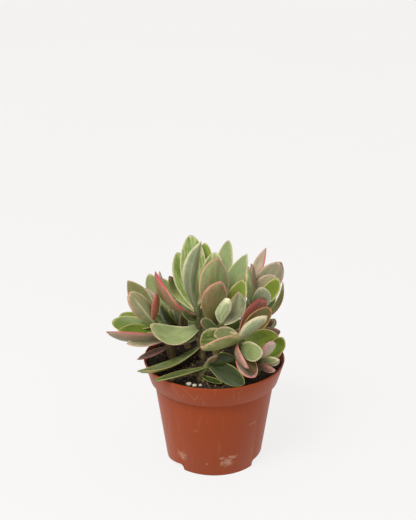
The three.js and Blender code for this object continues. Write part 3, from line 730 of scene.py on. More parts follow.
# %% The plan of the leafy stems
LEAFY_STEMS = {
    "stem_left": [
        {
            "radius": 3.0,
            "path": [(-31, 6, 70), (-34, 2, 92), (-42, -6, 108), (-45, -9, 114)],
            "leaves": [
                (0.95, 169, 59, 37, 15, -70, 2, 1, 0.2, 0.95, "dusky", "L"),
                (0.88, -142, 55, 39, 14, 73, 1, 0, 0.2, 0.6, "dusky", "L"),
                (0.90, 144, -4, 35, 13, -43, 3, 0, 0.2, 0.5, "vivid", ""),
                (0.80, 166, 2, 36, 15.5, -33, 3, 0, 0.2, 0.55, "vivid", ""),
                (0.72, -168, 7, 32, 12.5, -30, 2, 0, 0.3, 1, "vivid", ""),
                (0.70, -149, 14, 46, 13.5, 45, 5, 1, 0.3, 1, "dusty", "U"),
                (0.52, -138, 12, 38, 10, -58, 0.5, 1, 0.3, 0.8, "beige", "D"),
                (1.00, -64, 73, 27, 9.5, 30, 1.5, -0.5, 0.2, 1.2, "red", "L"),
                (1.00, 109, 45, 26, 14, -15, 1, 0, 0.2, 0.8, "brown", "R"),
                (0.38, -135, -1, 32, 8.5, 0, 1, 0, 0.2, 1, "wine", "U"),
            ],
        },
    ],
    "stem_back_left": [
        {
            "radius": 2.6,
            "path": [(-19, 22, 70), (-23, 24, 90), (-29, 20, 102), (-32, 18, 110)],
            "leaves": [
                (0.95, -178, 62, 36, 12, -80, 2, -3.5, 0.2, 0.55, "lime", ""),
                (1.00, -136, 72, 37, 10, -50, 2, 0, 0.2, 0.8, "beige", "L"),
                (0.50, -106, 57, 37, 8, 9, 1, 0, 0.2, 0.8, "grey", ""),
                (0.40, -94, 58, 34, 8, 41, 1, 0, 0.2, 0.8, "brown", "R"),
                (0.50, -125, 50, 41, 10, 10, 3.5, 2.5, 0.2, 0.8, "dark", ""),
                (1.00, 105, 28, 32, 14, 0, 2, 0, 0.2, 0.8, "plain", ""),
                (0.85, 160, 22, 28, 13, 0, 2, 0, 0.2, 0.8, "plain", ""),
                (0.75, 105, 8, 34, 14, 0, 3, 0, 0.2, 0.8, "plain", ""),
                (0.60, 165, 6, 32, 16, -55, 3, 0, 0.2, 0.8, "plain", ""),
                (0.60, -12, 4, 24, 12, 50, 1, 0, 0.2, 0.8, "plain", ""),
                (1.00, 20, 58, 20, 9, 0, 1, 0, 0.2, 0.8, "plain", ""),
                (0.45, 110, 6, 22, 11, 0, 1, 0, 0.2, 0.8, "plain", ""),
            ],
        },
    ],
    "stem_centre_left": [
        {
            "radius": 2.7,
            "path": [(-8, 6, 70), (-11, 4, 95), (-12, 1, 112), (-13, 0, 122)],
            "leaves": [
                (1.00, 105, 71, 52, 19.5, -4, 2, 0, 0.2, 0.6, "green", ""),
                (0.95, 136, 63, 44, 17, -22, 3, -1, 0.2, 0.65, "green", ""),
                (0.97, -73, 77, 58, 11.5, -11, 0, 6.5, 0.2, 0.95, "sage", "R"),
                (0.93, 75, 63, 50, 17, 14, 2, 0, 0.2, 0.65, "bright", ""),
                (0.88, -160, 50, 49, 16, 20, 9, 1, 0.2, 1, "pink", "R"),
                # This leaf's colouring is pushed paler as painted light, where it lies in the shade of the
                # leaves above.
                (0.90, 170, 52, 34, 10.5, -50, 13, 2, 0.2, 0.8, "reedy_painted_light", "R"),
                (0.68, -145, 15, 43, 15.5, -50, 6, -6.5, 0.2, 0.6, "lime", "D"),
                (0.50, -148, 18, 43, 11, -46, 4.5, -2.5, 0.2, 0.8, "moss", ""),
                (0.80, -126, 31, 22, 9, -60, 1, -0.5, 0.2, 0.8, "dark", ""),
                (0.34, -135, 1, 63, 13, 12, 6, 1.5, 0.2, 0.9, "leek", "D"),
                (0.75, 75, 25, 22, 11, 0, 2, 0, 0.2, 0.8, "plain", ""),
            ],
        },
    ],
    "stem_centre": [
        {
            "radius": 2.8,
            "path": [(3, -8, 70), (1, -10, 95), (-1, -12, 112), (-1, -13, 120)],
            "leaves": [
                (0.97, 83, 67, 47, 18, 7, 1, -2, 0.2, 0.6, "green", ""),
                (0.92, -59, 83, 52, 22, -32, 0, 1, 0.2, 0.95, "olive", "L"),
                (0.97, 64, 63, 57, 14, 33, 2, 0, 0.2, 0.62, "grey", ""),
                (0.85, -73, 64, 47, 18, -17, 1, 2.5, 0.2, 0.8, "umber", "L"),
                (0.90, 27, 60, 55, 14, 57, 2, 0, 0.2, 0.75, "grey", "R"),
                (0.82, -6, 60, 43, 15, 88, 3, 3, 0.2, 0.7, "bright", ""),
                (0.72, 18, 12, 22, 12, 50, 1, 0, 0.2, 0.8, "plain", ""),
                (0.36, -75, 12, 15, 8, 30, 1, 0, 0.2, 0.8, "plain", ""),
            ],
        },
        {
            "radius": 2.4,
            "path": [(1, -10, 95), (3, -14, 106), (5, -20, 115), (5.5, -22.5, 119)],
            "leaves": [
                (1.00, 37, 55, 25, 13.4, 48, 3, 4.5, 0.2, 0.9, "striped", "L"),
                (1.00, -39, 70, 21, 11.5, -59, 0, 2.5, 0.2, 0.55, "pale", "R"),
                (0.60, -123, 34, 29, 8.5, -80, 3, 1, 0.2, 0.8, "moss", "D"),
            ],
        },
    ],
    "stem_right": [
        {
            "radius": 3.0,
            "path": [(17, 5, 70), (18, 2, 98), (25, 4, 115), (31, 6, 127)],
            "leaves": [
                (0.92, -126, 83, 32, 12, 110, 1, 0, 0.2, 0.8, "rose", "R"),
                (0.85, -112, 75, 36, 12, 88, 1, 0, 0.2, 0.8, "green", ""),
                (0.90, 17, 77, 44, 8.5, 69, 6.5, -2.5, 0.2, 1, "blushing", "R"),
                (0.97, 18, 53, 33, 18, 63, 2, 0, 0.2, 0.75, "purple", "R"),
                (0.93, -5, 54, 26, 16, 81, 2, 0, 0.2, 0.8, "beige", ""),
                (0.88, -21, 51, 31, 12, 91, 2, 3, 0.2, 0.6, "bright", ""),
                # This leaf's colouring is pushed paler as painted light, where it lies in the shade of the
                # leaves above.
                (0.60, 2, 50, 45, 5.8, 42, 16, 2, 0.2, 0.9, "reedy_painted_light", "R"),
                (0.80, -66, 53, 33, 13, -38, -0.5, -4.5, 0.2, 0.65, "grey", ""),
                (0.75, 70, 20, 26, 11, 0, 2, 0, 0.2, 0.8, "plain", ""),
                (0.92, 110, 50, 30, 14, 0, 2, 0, 0.2, 0.8, "plain", ""),
                (0.50, -30, 14, 18, 9, 0, 1, 0, 0.2, 0.8, "plain", ""),
            ],
        },
    ],
    "stem_right_low": [
        {
            "radius": 2.8,
            "path": [(15, -19, 70), (17, -24, 90), (19, -26, 104), (19, -27, 109)],
            "leaves": [
                (1.00, 27, 36, 30, 16, 82, 0, -1, 0.2, 0.6, "amber", "L"),
                (0.97, -22, 48, 29, 14, -39, 0, 1, 0.2, 0.8, "halved", "R"),
                (1.00, 42, 43, 33, 15, 62, -0.5, -1.5, 0.2, 0.6, "ruddy", "U"),
                (0.85, 3, 12, 28, 18, 98, 2, 0, 0.2, 0.7, "bright", ""),
                (0.80, -60, 15, 31, 14, 82, 0, 1, 0.2, 0.6, "grey", ""),
                (0.85, -77, -15, 26, 12, -85, 5, 1, 0.2, 0.9, "rose", "L"),
                (0.75, -58, -29, 25, 14, 43, 0, 1.5, 0.2, 0.55, "tawny", "L"),
                # This leaf wears the painted shade colouring.
                (1.00, -146, 2, 34, 20, 5, 2, 1, 1, 0.6, "shade", "D"),
                (0.90, -161, 21, 22, 11.5, -51, 1, 3.5, 0.2, 0.7, "moss", ""),
                (0.50, 30, 8, 20, 10, 0, 1, 0, 0.2, 0.8, "plain", ""),
            ],
        },
    ],
    "stem_right_side": [
        {
            "radius": 2.2,
            "path": [(30, -20, 70), (32, -25, 84), (34, -29, 92), (35, -31, 96)],
            "leaves": [
                (1.00, -67, 56, 21, 10.5, -1, 1, -1, 0.2, 0.7, "lilac", "L"),
                (0.90, -24, 53, 25, 11, 95, 4.5, 2, 0.2, 0.6, "vivid", ""),
                (0.80, -37, 21, 17, 9, -70, 1, -0.5, 0.2, 0.8, "moss", "D"),
                (0.60, -59, 16, 22, 8, -72, 1.5, 0.5, 0.2, 0.9, "rose", "U"),
                (0.70, 40, 18, 22, 11, 20, 1, 0, 0.2, 0.8, "plain", ""),
            ],
        },
    ],
    "stem_front_low": [
        {
            "radius": 2.4,
            "path": [(-12, -29, 70), (-10, -29, 79), (-6, -29, 86), (-4, -30, 91)],
            "leaves": [
                (0.95, -28, -17, 31, 14, 70, 2, 0, 0.2, 0.65, "deep", ""),
                (1.00, -55, 45, 14, 8, -8, 1, 0, 0.2, 0.8, "brown", ""),
                (0.45, -43, 3, 21, 6, 10, 1, 0, 0.2, 0.9, "deep", ""),
                (1.00, -6, 12, 20, 12, -90, 1, 0, 0.2, 0.8, "deep", ""),
                (0.80, -156, -4, 41, 9.5, 8, 0.5, 0, 0.2, 0.8, "dark", ""),
            ],
        },
    ],
    "stem_back": [
        {
            "radius": 3.0,
            "path": [(4, 28, 70), (4, 30, 86), (3, 31, 98), (2, 32, 106)],
            "leaves": [
                (1.00, 30, 50, 36, 16, 0, 2, 0, 0.2, 0.8, "plain", ""),
                (1.00, -155, 50, 34, 15, 0, 2, 0, 0.2, 0.8, "plain", ""),
                (0.90, 115, 35, 40, 16, 0, 3, 0, 0.2, 0.8, "plain", ""),
                (0.75, 50, 14, 34, 15, 0, 3, 0, 0.2, 0.8, "plain", ""),
                (0.75, 160, 18, 40, 16, 0, 3, 0, 0.2, 0.8, "plain", ""),
                (0.60, 95, 8, 42, 17, 0, 3, 0, 0.2, 0.8, "plain", ""),
                (1.00, -60, 65, 32, 14, 0, 2, 0, 0.2, 0.8, "plain", ""),
                (0.60, -168, 4, 22, 11, -55, 1, 0, 0.2, 0.8, "plain", ""),
                (1.00, 130, 64, 34, 14, 0, 2, 0, 0.2, 0.8, "plain", ""),
            ],
        },
    ],
    "stem_back_right": [
        {
            "radius": 2.8,
            "path": [(30, 18, 70), (32, 22, 86), (33, 25, 98), (33, 27, 106)],
            "leaves": [
                (0.50, -53, 26, 31, 10, -71, 1, 0, 0.2, 0.8, "rose", "R"),
                (0.60, -51, 39, 25, 9, -54, 1, 0, 0.2, 0.8, "brown", ""),
                (1.00, 110, 55, 32, 14, 0, 2, 0, 0.2, 0.8, "plain", ""),
                (0.90, 50, 35, 26, 13, 0, 2, 0, 0.2, 0.8, "plain", ""),
                (0.80, 90, 15, 32, 14, 0, 3, 0, 0.2, 0.8, "plain", ""),
                (0.60, 60, -4, 30, 14, 0, 3, 0, 0.2, 0.8, "plain", ""),
                (1.00, -20, 66, 24, 11, 0, 1, 0, 0.2, 0.8, "plain", ""),
                (0.60, 140, 6, 24, 12, 0, 2, 0, 0.2, 0.8, "plain", ""),
            ],
        },
    ],
}

# %% [markdown]
# Variegation. A jade leaf of this kind is green in the middle, paler and greyer underneath, and
# streaked lengthwise where a second tone comes through. A cream band runs along its margin, and
# the very edge is pink where the sun gets it and cream where it does not. Tips and stressed
# leaves blush over. Each colouring names these colours, then the widths of band and edge in mm,
# how far the blush spreads from the tip, how clearly the keel underneath shows as a line, and
# how far the tone of the sunny edge runs in over the face.

# %% The colourings
Colouring = namedtuple(
    "Colouring",
    "upper lower streak band sun_edge shade_edge blush band_width edge_width spread keel flushed",
)
COLOURINGS = {
    "green": Colouring(
        "#829B4A", "#8DA361", "#B0BE83", "#DED6A6", "#D9A27E", "#E4DEB0", "#7E6A3C",
        0.9, 0.42, 0.05, 0.2, 0.15,
    ),
    "bright": Colouring(
        "#92A041", "#A1AF64", "#708834", "#D8D090", "#DDB68A", "#E4DEA4", "#94853C",
        0.8, 0.40, 0.0, 0.0, 0.1,
    ),
    "vivid": Colouring(
        "#6B7E25", "#76893A", "#516A1E", "#A8AC60", "#DDB68A", "#B8B474", "#76702E",
        0.8, 0.40, 0.14, 0.0, 0.1,
    ),
    "grey": Colouring(
        "#97A669", "#A5AE8B", "#849865", "#D8D2AA", "#DDA083", "#CDCCA4", "#A08474",
        0.8, 0.45, 0.08, 0.3, 0.2,
    ),
    "sage": Colouring(
        "#84915C", "#8C9470", "#74855A", "#D0CAA0", "#DDA083", "#C8C79E", "#A08474",
        0.8, 0.45, 0.08, 0.3, 0.2,
    ),
    "moss": Colouring(
        "#819257", "#8C9567", "#718554", "#CFC49A", "#D98F82", "#D5CCA2", "#96695E",
        0.8, 0.50, 0.22, 0.8, 0.25,
    ),
    "dusky": Colouring(
        "#819257", "#8C9567", "#718554", "#CFC49A", "#D98F82", "#D5CCA2", "#A2705C",
        0.8, 0.50, 0.38, 0.8, 0.25,
    ),
    "lime": Colouring(
        "#B4BE84", "#B6C191", "#97A96C", "#E2DCAC", "#DFC096", "#E6E0B4", "#A8A050",
        0.9, 0.40, 0.0, 0.0, 0.1,
    ),
    "olive": Colouring(
        "#778A43", "#7C9257", "#7C7048", "#C4A27E", "#D29680", "#B4AC8C", "#8A5E50",
        0.9, 0.75, 0.10, 0.2, 0.10,
    ),
    "umber": Colouring(
        "#787C3C", "#747844", "#7C5E3A", "#C49A7C", "#C2886E", "#C0967A", "#84504A",
        0.9, 0.68, 0.15, 0.0, 0.12,
    ),
    "tawny": Colouring(
        "#514D1D", "#545124", "#5F4324", "#C49A7C", "#D2766C", "#C4967E", "#84504A",
        0.9, 0.80, 0.15, 0.0, 0.15,
    ),
    "amber": Colouring(
        "#506123", "#5C6B2E", "#725426", "#C8A45C", "#C48A62", "#C8BE74", "#8A4A30",
        0.9, 0.50, 0.12, 0.0, 0.12,
    ),
    "dark": Colouring(
        "#465429", "#4A5A30", "#66703A", "#8E9448", "#C0A868", "#A3A65A", "#47392A",
        0.6, 0.40, 0.08, 0.0, 0.15,
    ),
    "leek": Colouring(
        "#5E6C38", "#626E40", "#7C8448", "#A0A45A", "#C4AE70", "#ACB068", "#57492F",
        0.7, 0.42, 0.08, 0.0, 0.15,
    ),
    "deep": Colouring(
        "#2A3711", "#2E3A14", "#3B4718", "#7E8A44", "#B0A060", "#A3A65A", "#3A3222",
        0.5, 0.40, 0.08, 0.0, 0.1,
    ),
    "red": Colouring(
        "#84643E", "#866842", "#A04E3A", "#B46A58", "#D04C4C", "#B09474", "#6E3430",
        1.0, 0.60, 0.16, 0.0, 0.9,
    ),
    "ruddy": Colouring(
        "#6C5836", "#6E5C3C", "#8E4A3A", "#A85C56", "#B8484E", "#C49A80", "#5E2A2C",
        1.3, 0.60, 0.30, 0.0, 0.6,
    ),
    "rose": Colouring(
        "#94745A", "#908C6A", "#9C685A", "#CC9484", "#D0706E", "#B8A088", "#6B3E44",
        1.2, 0.70, 0.35, 0.0, 0.3,
    ),
    "dusty": Colouring(
        "#8C7C60", "#8E8C6C", "#927462", "#C69C86", "#D0706E", "#A89880", "#5E4238",
        1.2, 0.70, 0.25, 0.0, 0.22,
    ),
    "wine": Colouring(
        "#74403A", "#7E4A40", "#5A4A30", "#B98C78", "#D8A898", "#8A5A50", "#552830",
        0.7, 0.50, 0.35, 0.0, 0.3,
    ),
    "pink": Colouring(
        "#7C8548", "#7C8652", "#8C6C48", "#D09A80", "#CE5C5E", "#C9A088", "#86383F",
        1.0, 1.00, 0.32, 0.0, 0.6,
    ),
    "brown": Colouring(
        "#6A6640", "#70704C", "#84604A", "#B8A07C", "#C08070", "#C0B088", "#64403C",
        0.8, 0.60, 0.25, 0.2, 0.2,
    ),
    "beige": Colouring(
        "#B8B08C", "#C8BC98", "#A2A880", "#E0CCAE", "#DC9488", "#E8DEC0", "#B07A70",
        1.2, 0.70, 0.20, 0.0, 0.25,
    ),
    "blushing": Colouring(
        "#D6CCAA", "#D4C8A4", "#D2BEA4", "#E4C6AC", "#DC8686", "#DCCCB0", "#B87E78",
        1.2, 0.80, 0.12, 0.0, 0.75,
    ),
    "purple": Colouring(
        "#A0A87E", "#A0A882", "#9A8872", "#D8C0A4", "#552E3A", "#D0BCA0", "#6E4850",
        1.0, 1.0, 0.3, 0.2, 0.85,
    ),
    "lilac": Colouring(
        "#AEA284", "#B9A88E", "#93A07A", "#D8B4A6", "#D2747A", "#E0B8A8", "#A27C84",
        1.0, 0.90, 0.30, 0.0, 0.6,
    ),
    # Painted light: the leaves' own pale green, pushed paler still so that leaves lying in the shade of
    # those above look lit.
    "reedy_painted_light": Colouring(
        "#B6C878", "#B6C87F", "#A1B36D", "#DCD0A0", "#D89088", "#DDD3A4", "#A07064",
        1.2, 0.80, 0.22, 0.0, 0.35,
    ),
    "pale": Colouring(
        "#A2AE7A", "#AAB482", "#B8C094", "#EFE8C0", "#B9A674", "#F0ECCC", "#D8D2A0",
        1.5, 0.6, 0.0, 0.0, 0.0,
    ),
    "halved": Colouring(
        "#889A6C", "#8E9E74", "#A6AA86", "#DCC6A4", "#D68878", "#CFC8A4", "#B08470",
        1.4, 0.70, 0.10, 0.0, 0.9,
    ),
    "striped": Colouring(
        "#78855A", "#78835A", "#9C9876", "#BCB088", "#D49A80", "#B8B894", "#8A6C50",
        1.0, 0.7, 0.05, 0.0, 0.3,
    ),
    # Painted shade: a darker green for a leaf that lies in the shade of the leaves above it, its upper face
    # darker still where its fold shades it.
    "shade": Colouring(
        "#5A7026", "#778B51", "#898B51", "#C8B888", "#D9A080", "#CFC496", "#7A5A44",
        0.8, 0.45, 0.10, 0.0, 0.15,
    ),
    "plain": Colouring(
        "#5F7A2C", "#82926A", "#7A8C48", "#C6BE8A", "#D09480", "#CCC68E", "#84644C",
        0.8, 0.45, 0.15, 0.3, 0.2,
    ),
}
# The way that each named margin lies from the middle of its leaf.
MARGIN_WAYS = {"L": (-1, 0, 0), "R": (1, 0, 0), "U": (0, 0.36, 0.93), "D": (0, -0.36, -0.93)}

# %% [markdown]
# A leaf starts as a ball whose poles become its root and its tip. Every point of the ball knows
# how far along the leaf it lies, how far across, and whether it is on the upper or the lower
# side, and moves to its place on the leaf: broad beyond the middle, drawn to a point, flatter
# above than below, and folded a little along the midrib. The same three numbers are kept on the
# mesh, as the distance from the margin and a pair of texture coordinates in millimetres, so
# that the colours follow the leaf however it bends.

# %% Leaves: the shape
LEAF_SIDES = 32
LEAF_STATIONS = 22
LEAF_ROOT_SINK = 2
LEAF_THICKNESS_SHARE = 0.2
LEAF_BASE_SHARE = 0.24
LEAF_WIDEST_AT = 0.57
LEAF_SWELL_POWER = 1.25
LEAF_TIP_POWER = 2.1
LEAF_TIP_LENGTH = 0.08
LEAF_TIP_THICKNESS = 0.3
LEAF_END_FLESH = 0.35
UPPER_SHARE = 0.25
LOWER_SHARE = 0.75
ROUNDING_POWER = 1.2
STATION_POWER = 1.5
LEAF_TWIST = 7
LEAF_RIPPLE = 0.35


def point_along(path, share):
    points = [Vector(place) for place in path]
    steps = [(b - a).length for a, b in zip(points, points[1:])]
    rest = share * sum(steps)
    index = 0
    while index < len(steps) - 1 and rest > steps[index]:
        rest -= steps[index]
        index += 1
    return points[index].lerp(points[index + 1], rest / steps[index])


def leaf_outline(t, point):
    """Half of the leaf's width, from 0 at the tip to 1 at its widest."""
    if t < LEAF_WIDEST_AT:
        swell = math.sin(math.pi / 2 * t / LEAF_WIDEST_AT) ** LEAF_SWELL_POWER
        return LEAF_BASE_SHARE + (1 - LEAF_BASE_SHARE) * swell
    to_tip = (t - LEAF_WIDEST_AT) / (1 - LEAF_WIDEST_AT)
    return max(0.0, 1 - to_tip**LEAF_TIP_POWER) ** point


def mixed(a, b, share):
    return tuple(x + (y - x) * share for x, y in zip(a, b))


def smooth_step(low, high, value):
    share = min(1.0, max(0.0, (value - low) / (high - low)))
    return share * share * (3 - 2 * share)


def wander(*place):
    """A smooth random value from 0 to 1 that wanders from place to place."""
    return min(1.0, max(0.0, 0.5 + 0.9 * noise.noise(Vector(place))))


def add_leaf(shape, layers, shoot, leaf, index):
    at, turn, rise, reach, width, roll, bow, sweep, fold, point, colouring, sunny = leaf
    look = COLOURINGS[colouring]
    upper_tone, lower_tone, streak, band, sun_edge, shade_edge, blush = (linear(c) for c in look[:7])
    length = reach + LEAF_ROOT_SINK
    turn, rise = math.radians(turn), math.radians(rise)
    along = Vector((math.cos(rise) * math.cos(turn), math.cos(rise) * math.sin(turn), math.sin(rise)))
    root = point_along(shoot["path"], at) - along * LEAF_ROOT_SINK
    face = (Vector((0, 0, 1)) - along * along.z).normalized()
    face.rotate(Matrix.Rotation(math.radians(roll), 3, along))
    side = along.cross(face)
    sun_side = math.copysign(1, side.dot(Vector(MARGIN_WAYS[sunny]))) if sunny else 0
    luck = random.Random(index)
    twist = math.radians(luck.uniform(-LEAF_TWIST, LEAF_TWIST))
    shade = luck.uniform(0.93, 1.07)
    seed = 3.7 * index

    made = bmesh.ops.create_uvsphere(shape, u_segments=LEAF_SIDES, v_segments=LEAF_STATIONS, radius=1)
    for vertex in made["verts"]:
        polar = math.acos(max(-1, min(1, vertex.co.z)))
        t = 1 - (polar / math.pi) ** STATION_POWER
        ring = math.sin(polar)
        across = vertex.co.x / ring if ring > 1e-6 else 0
        up = -vertex.co.y / ring if ring > 1e-6 else 0

        # The middle line, which sags between its ends, and the leaf's directions here.
        sag = 4 * t * (1 - t)
        slope = 4 * (1 - 2 * t)
        ahead = (along * length - face * bow * slope + side * sweep * slope).normalized()
        upper = (face - ahead * face.dot(ahead)).normalized()
        upper.rotate(Matrix.Rotation(twist * (t - 0.3), 3, ahead))
        beside = ahead.cross(upper)

        # The flesh and the skin's gentle ripples.
        outline = leaf_outline(t, point)
        half = width / 2 * outline
        tip_taper = LEAF_TIP_THICKNESS + (1 - LEAF_TIP_THICKNESS) * (1 - t) / LEAF_TIP_LENGTH
        fullness = LEAF_END_FLESH + (1 - LEAF_END_FLESH) * math.sqrt(outline)
        flesh = LEAF_THICKNESS_SHARE * width * fullness * min(1, tip_taper)
        height = (UPPER_SHARE if up > 0 else -LOWER_SHARE) * flesh * abs(up) ** ROUNDING_POWER
        ripple = LEAF_RIPPLE * noise.noise(Vector((across * 1.1, t * 3.5, seed))) * outline

        place = root + along * length * t - face * bow * sag + side * sweep * sag
        place += beside * half * across + upper * (fold * half * across * across + height + ripple)
        vertex.co = place * MM

        # How far it is to the margin, and how much sun and blush there is here.
        from_edge = math.hypot(half * (1 - abs(across)), 0.6 * height)
        edge_gap = min(from_edge + 0.02, (1 - t) * length * 0.6)
        hand = 1 if across > 0 else -1
        sun = smooth_step(-0.3, 0.3, across * sun_side) if sun_side else 0.35
        sun *= 0.45 + 0.55 * smooth_step(0.2, 0.6, wander(t * 2.6, hand, seed))
        sun *= smooth_step(0.05, 0.45, t)
        flush = smooth_step(0.1, 0.95, t) * (0.55 + 0.9 * wander(across * 0.8, t * 1.8, seed + 9))
        # The tones of the face and of the edge.
        on_top = smooth_step(-0.25, 0.25, up)
        core = mixed(lower_tone, upper_tone, on_top)
        core = mixed(core, band, 0.5 * smooth_step(0.24, 0.0, t))
        core = mixed(core, sun_edge, look.flushed * sun * smooth_step(0.0, 1.0, abs(across)))
        core = mixed(core, blush, min(0.9, look.spread * flush))
        core = mixed(core, blush, 0.55 * smooth_step(0.92, 1.0, t))
        edge = mixed(mixed(shade_edge, sun_edge, sun), blush, 0.5 * smooth_step(0.86, 1.0, t))
        edge = mixed(edge, blush, min(0.9, look.spread * flush))
        # What the material reads: the tones, the distances, and a place for its patterns.
        widen = 0.45 + 1.1 * wander(t * 2.1, 2.0 * hand, seed + 5)
        vertex[layers["core"]] = tuple(c * shade for c in core[:3]) + (1,)
        vertex[layers["streak"]] = mixed(mixed(streak, core, 0.2), blush, 0.5 * look.spread * flush)
        vertex[layers["band"]] = mixed(band, core, 0.1)
        vertex[layers["edge"]] = edge
        vertex[layers["band_gap"]] = edge_gap / (look.band_width * widen)
        vertex[layers["edge_gap"]] = edge_gap / (look.edge_width * (0.75 + 0.6 * sun))
        vertex[layers["beside"]] = half * across
        keel_fades = smooth_step(0.0, 0.2, t) * smooth_step(1.0, 0.7, t)
        vertex[layers["keel"]] = look.keel * (1 - on_top) * keel_fades
        vertex[layers["grain"]] = Vector((half * across + 37.0 * index, length * t, up * 2.0))


# %% [markdown]
# A jade stem is a thick, jointed, succulent rod. Rings of scars mark where old pairs of leaves
# fell, and it turns from green at the crown to dry, corky brown at the soil. It starts as a ball
# too: its rings are moved on to a smooth line through the points of the path, all to the stem's
# own radius but for the last ones, which close its ends.

# %% Stems: the shape
STEM_SIDES = 20
STEM_RINGS = 40
STEM_FOOT_SWELL = 1.1
STEM_TOP_TAPER = 0.8
SCAR_SPACING = 6.5
SCAR_SWELL = 0.09
STEM_END_ROUND = 0.12
STEM_KNOBS = 0.08


def smooth_path(path, share):
    """A point of the smooth line through the path's points, and the line's direction there."""
    points = [Vector(place) for place in path]
    points = [2 * points[0] - points[1]] + points + [2 * points[-1] - points[-2]]
    spot = min(share, 0.99999) * (len(points) - 3)
    index = int(spot)
    u = spot - index
    a, b, c, d = points[index : index + 4]
    place = 0.5 * (2 * b + (c - a) * u + (2 * a - 5 * b + 4 * c - d) * u**2 + (3 * b - a - 3 * c + d) * u**3)
    ahead = 0.5 * ((c - a) + 2 * (2 * a - 5 * b + 4 * c - d) * u + 3 * (3 * b - a - 3 * c + d) * u**2)
    return place, ahead.normalized()


def add_stem(shape, layers, shoot, index):
    made = bmesh.ops.create_uvsphere(shape, u_segments=STEM_SIDES, v_segments=STEM_RINGS, radius=1)
    low, high = shoot["path"][0][2], shoot["path"][-1][2]
    for vertex in made["verts"]:
        polar = math.acos(max(-1, min(1, vertex.co.z)))
        ring = max(math.sin(polar), 1e-6)
        across, up = vertex.co.x / ring, vertex.co.y / ring
        share = 1 - polar / math.pi
        place, ahead = smooth_path(shoot["path"], share)
        side = Vector((0, 1, 0)).cross(ahead).normalized()
        front = ahead.cross(side)
        height = place.z
        scar = max(0, math.cos(2 * math.pi * (height + 2.3 * index) / SCAR_SPACING))
        radius = shoot["radius"] * (STEM_FOOT_SWELL + (STEM_TOP_TAPER - STEM_FOOT_SWELL) * share)
        radius *= (1 + SCAR_SWELL * scar**6) * min(1, ring / STEM_END_ROUND)
        radius *= 1 + STEM_KNOBS * noise.noise(Vector((across, up, height / 4 + index)))
        vertex.co = (place + (side * across + front * up) * radius) * MM
        vertex[layers["band"]] = (share, scar**8, (height - low) / (high - low), 1)
        vertex[layers["grain"]] = Vector((math.atan2(up, across) * shoot["radius"], height, index))
    for face in {face for vertex in made["verts"] for face in vertex.link_faces}:
        face.material_index = 1


# %% [markdown]
# The leaf's skin is a waxy film over wet flesh. It is drawn in layers: the green of the face, a
# second tone in long streaks where the variegation runs lengthwise, the pale line of the keel,
# the band and the edge, whose borders wander a little, and the fine flecks of the water pores.
# Light enters the flesh and comes out softened, and the wax gives a broad, dull shine.

# %% Material: jade leaf, waxed and fleshy
leaf_material, tree = new_material("waxy_jade_leaf")
core = add_node(tree, "ShaderNodeAttribute", {"attribute_name": "core"})
second = add_node(tree, "ShaderNodeAttribute", {"attribute_name": "streak"})
band = add_node(tree, "ShaderNodeAttribute", {"attribute_name": "band"})
edge_tone = add_node(tree, "ShaderNodeAttribute", {"attribute_name": "edge"})
band_gap = add_node(tree, "ShaderNodeAttribute", {"attribute_name": "band_gap"})
edge_gap = add_node(tree, "ShaderNodeAttribute", {"attribute_name": "edge_gap"})
beside = add_node(tree, "ShaderNodeAttribute", {"attribute_name": "beside"})
keel = add_node(tree, "ShaderNodeAttribute", {"attribute_name": "keel"})
grain = add_node(tree, "ShaderNodeAttribute", {"attribute_name": "grain"})
# Streaks about 1.2 mm apart across the leaf and 14 mm long.
streak_way = add_node(
    tree, "ShaderNodeMapping", {},
    {"Vector": grain.outputs["Vector"], "Scale": (0.85, 0.07, 0.6)},
)
streak = add_node(
    tree, "ShaderNodeTexNoise", {},
    {"Vector": streak_way.outputs[0], "Scale": 1.0, "Detail": 4.0, "Roughness": 0.65, "Distortion": 0.3},
)
# Blotches about 4 mm wide and 10 mm long.
blotch_way = add_node(
    tree, "ShaderNodeMapping", {},
    {"Vector": grain.outputs["Vector"], "Scale": (0.28, 0.10, 0.4)},
)
blotch = add_node(
    tree, "ShaderNodeTexNoise", {},
    {"Vector": blotch_way.outputs[0], "Scale": 1.0, "Detail": 3.0},
)
# Flecks of water pores, about 0.7 mm apart.
fleck = add_node(
    tree, "ShaderNodeTexNoise", {},
    {"Vector": grain.outputs["Vector"], "Scale": 1.5, "Detail": 3.0},
)

# The second tone, strongest where a streak crosses a blotch.
both = add_node(
    tree, "ShaderNodeMath", {"operation": "MULTIPLY_ADD"},
    {0: blotch.outputs["Fac"], 1: 0.8, 2: streak.outputs["Fac"]},
)
in_streak = add_node(
    tree, "ShaderNodeMapRange", {"interpolation_type": "SMOOTHSTEP"},
    {"Value": both.outputs[0], "From Min": 0.80, "From Max": 1.02, "To Max": 0.95},
)
two_toned = add_node(
    tree, "ShaderNodeMix", {"data_type": "RGBA"},
    {0: in_streak.outputs[0], 6: core.outputs["Color"], 7: second.outputs["Color"]},
)
value = add_node(
    tree, "ShaderNodeMapRange", {},
    {"Value": streak.outputs["Fac"], "From Min": 0.3, "From Max": 0.7, "To Min": 0.74, "To Max": 1.24},
)
streaked = add_node(
    tree, "ShaderNodeHueSaturation", {}, {"Color": two_toned.outputs[2], "Value": value.outputs[0]},
)
# The keel is a pale line a millimetre wide.
from_keel = add_node(tree, "ShaderNodeMath", {"operation": "ABSOLUTE"}, {0: beside.outputs["Fac"]})
on_keel = add_node(
    tree, "ShaderNodeMapRange", {"interpolation_type": "SMOOTHSTEP"},
    {"Value": from_keel.outputs[0], "From Min": 1.1, "From Max": 0.2},
)
keel_share = add_node(
    tree, "ShaderNodeMath", {"operation": "MULTIPLY"},
    {0: on_keel.outputs[0], 1: keel.outputs["Fac"]},
)
keeled = add_node(
    tree, "ShaderNodeMix", {"data_type": "RGBA"},
    {0: keel_share.outputs[0], 6: streaked.outputs[0], 7: band.outputs["Color"]},
)
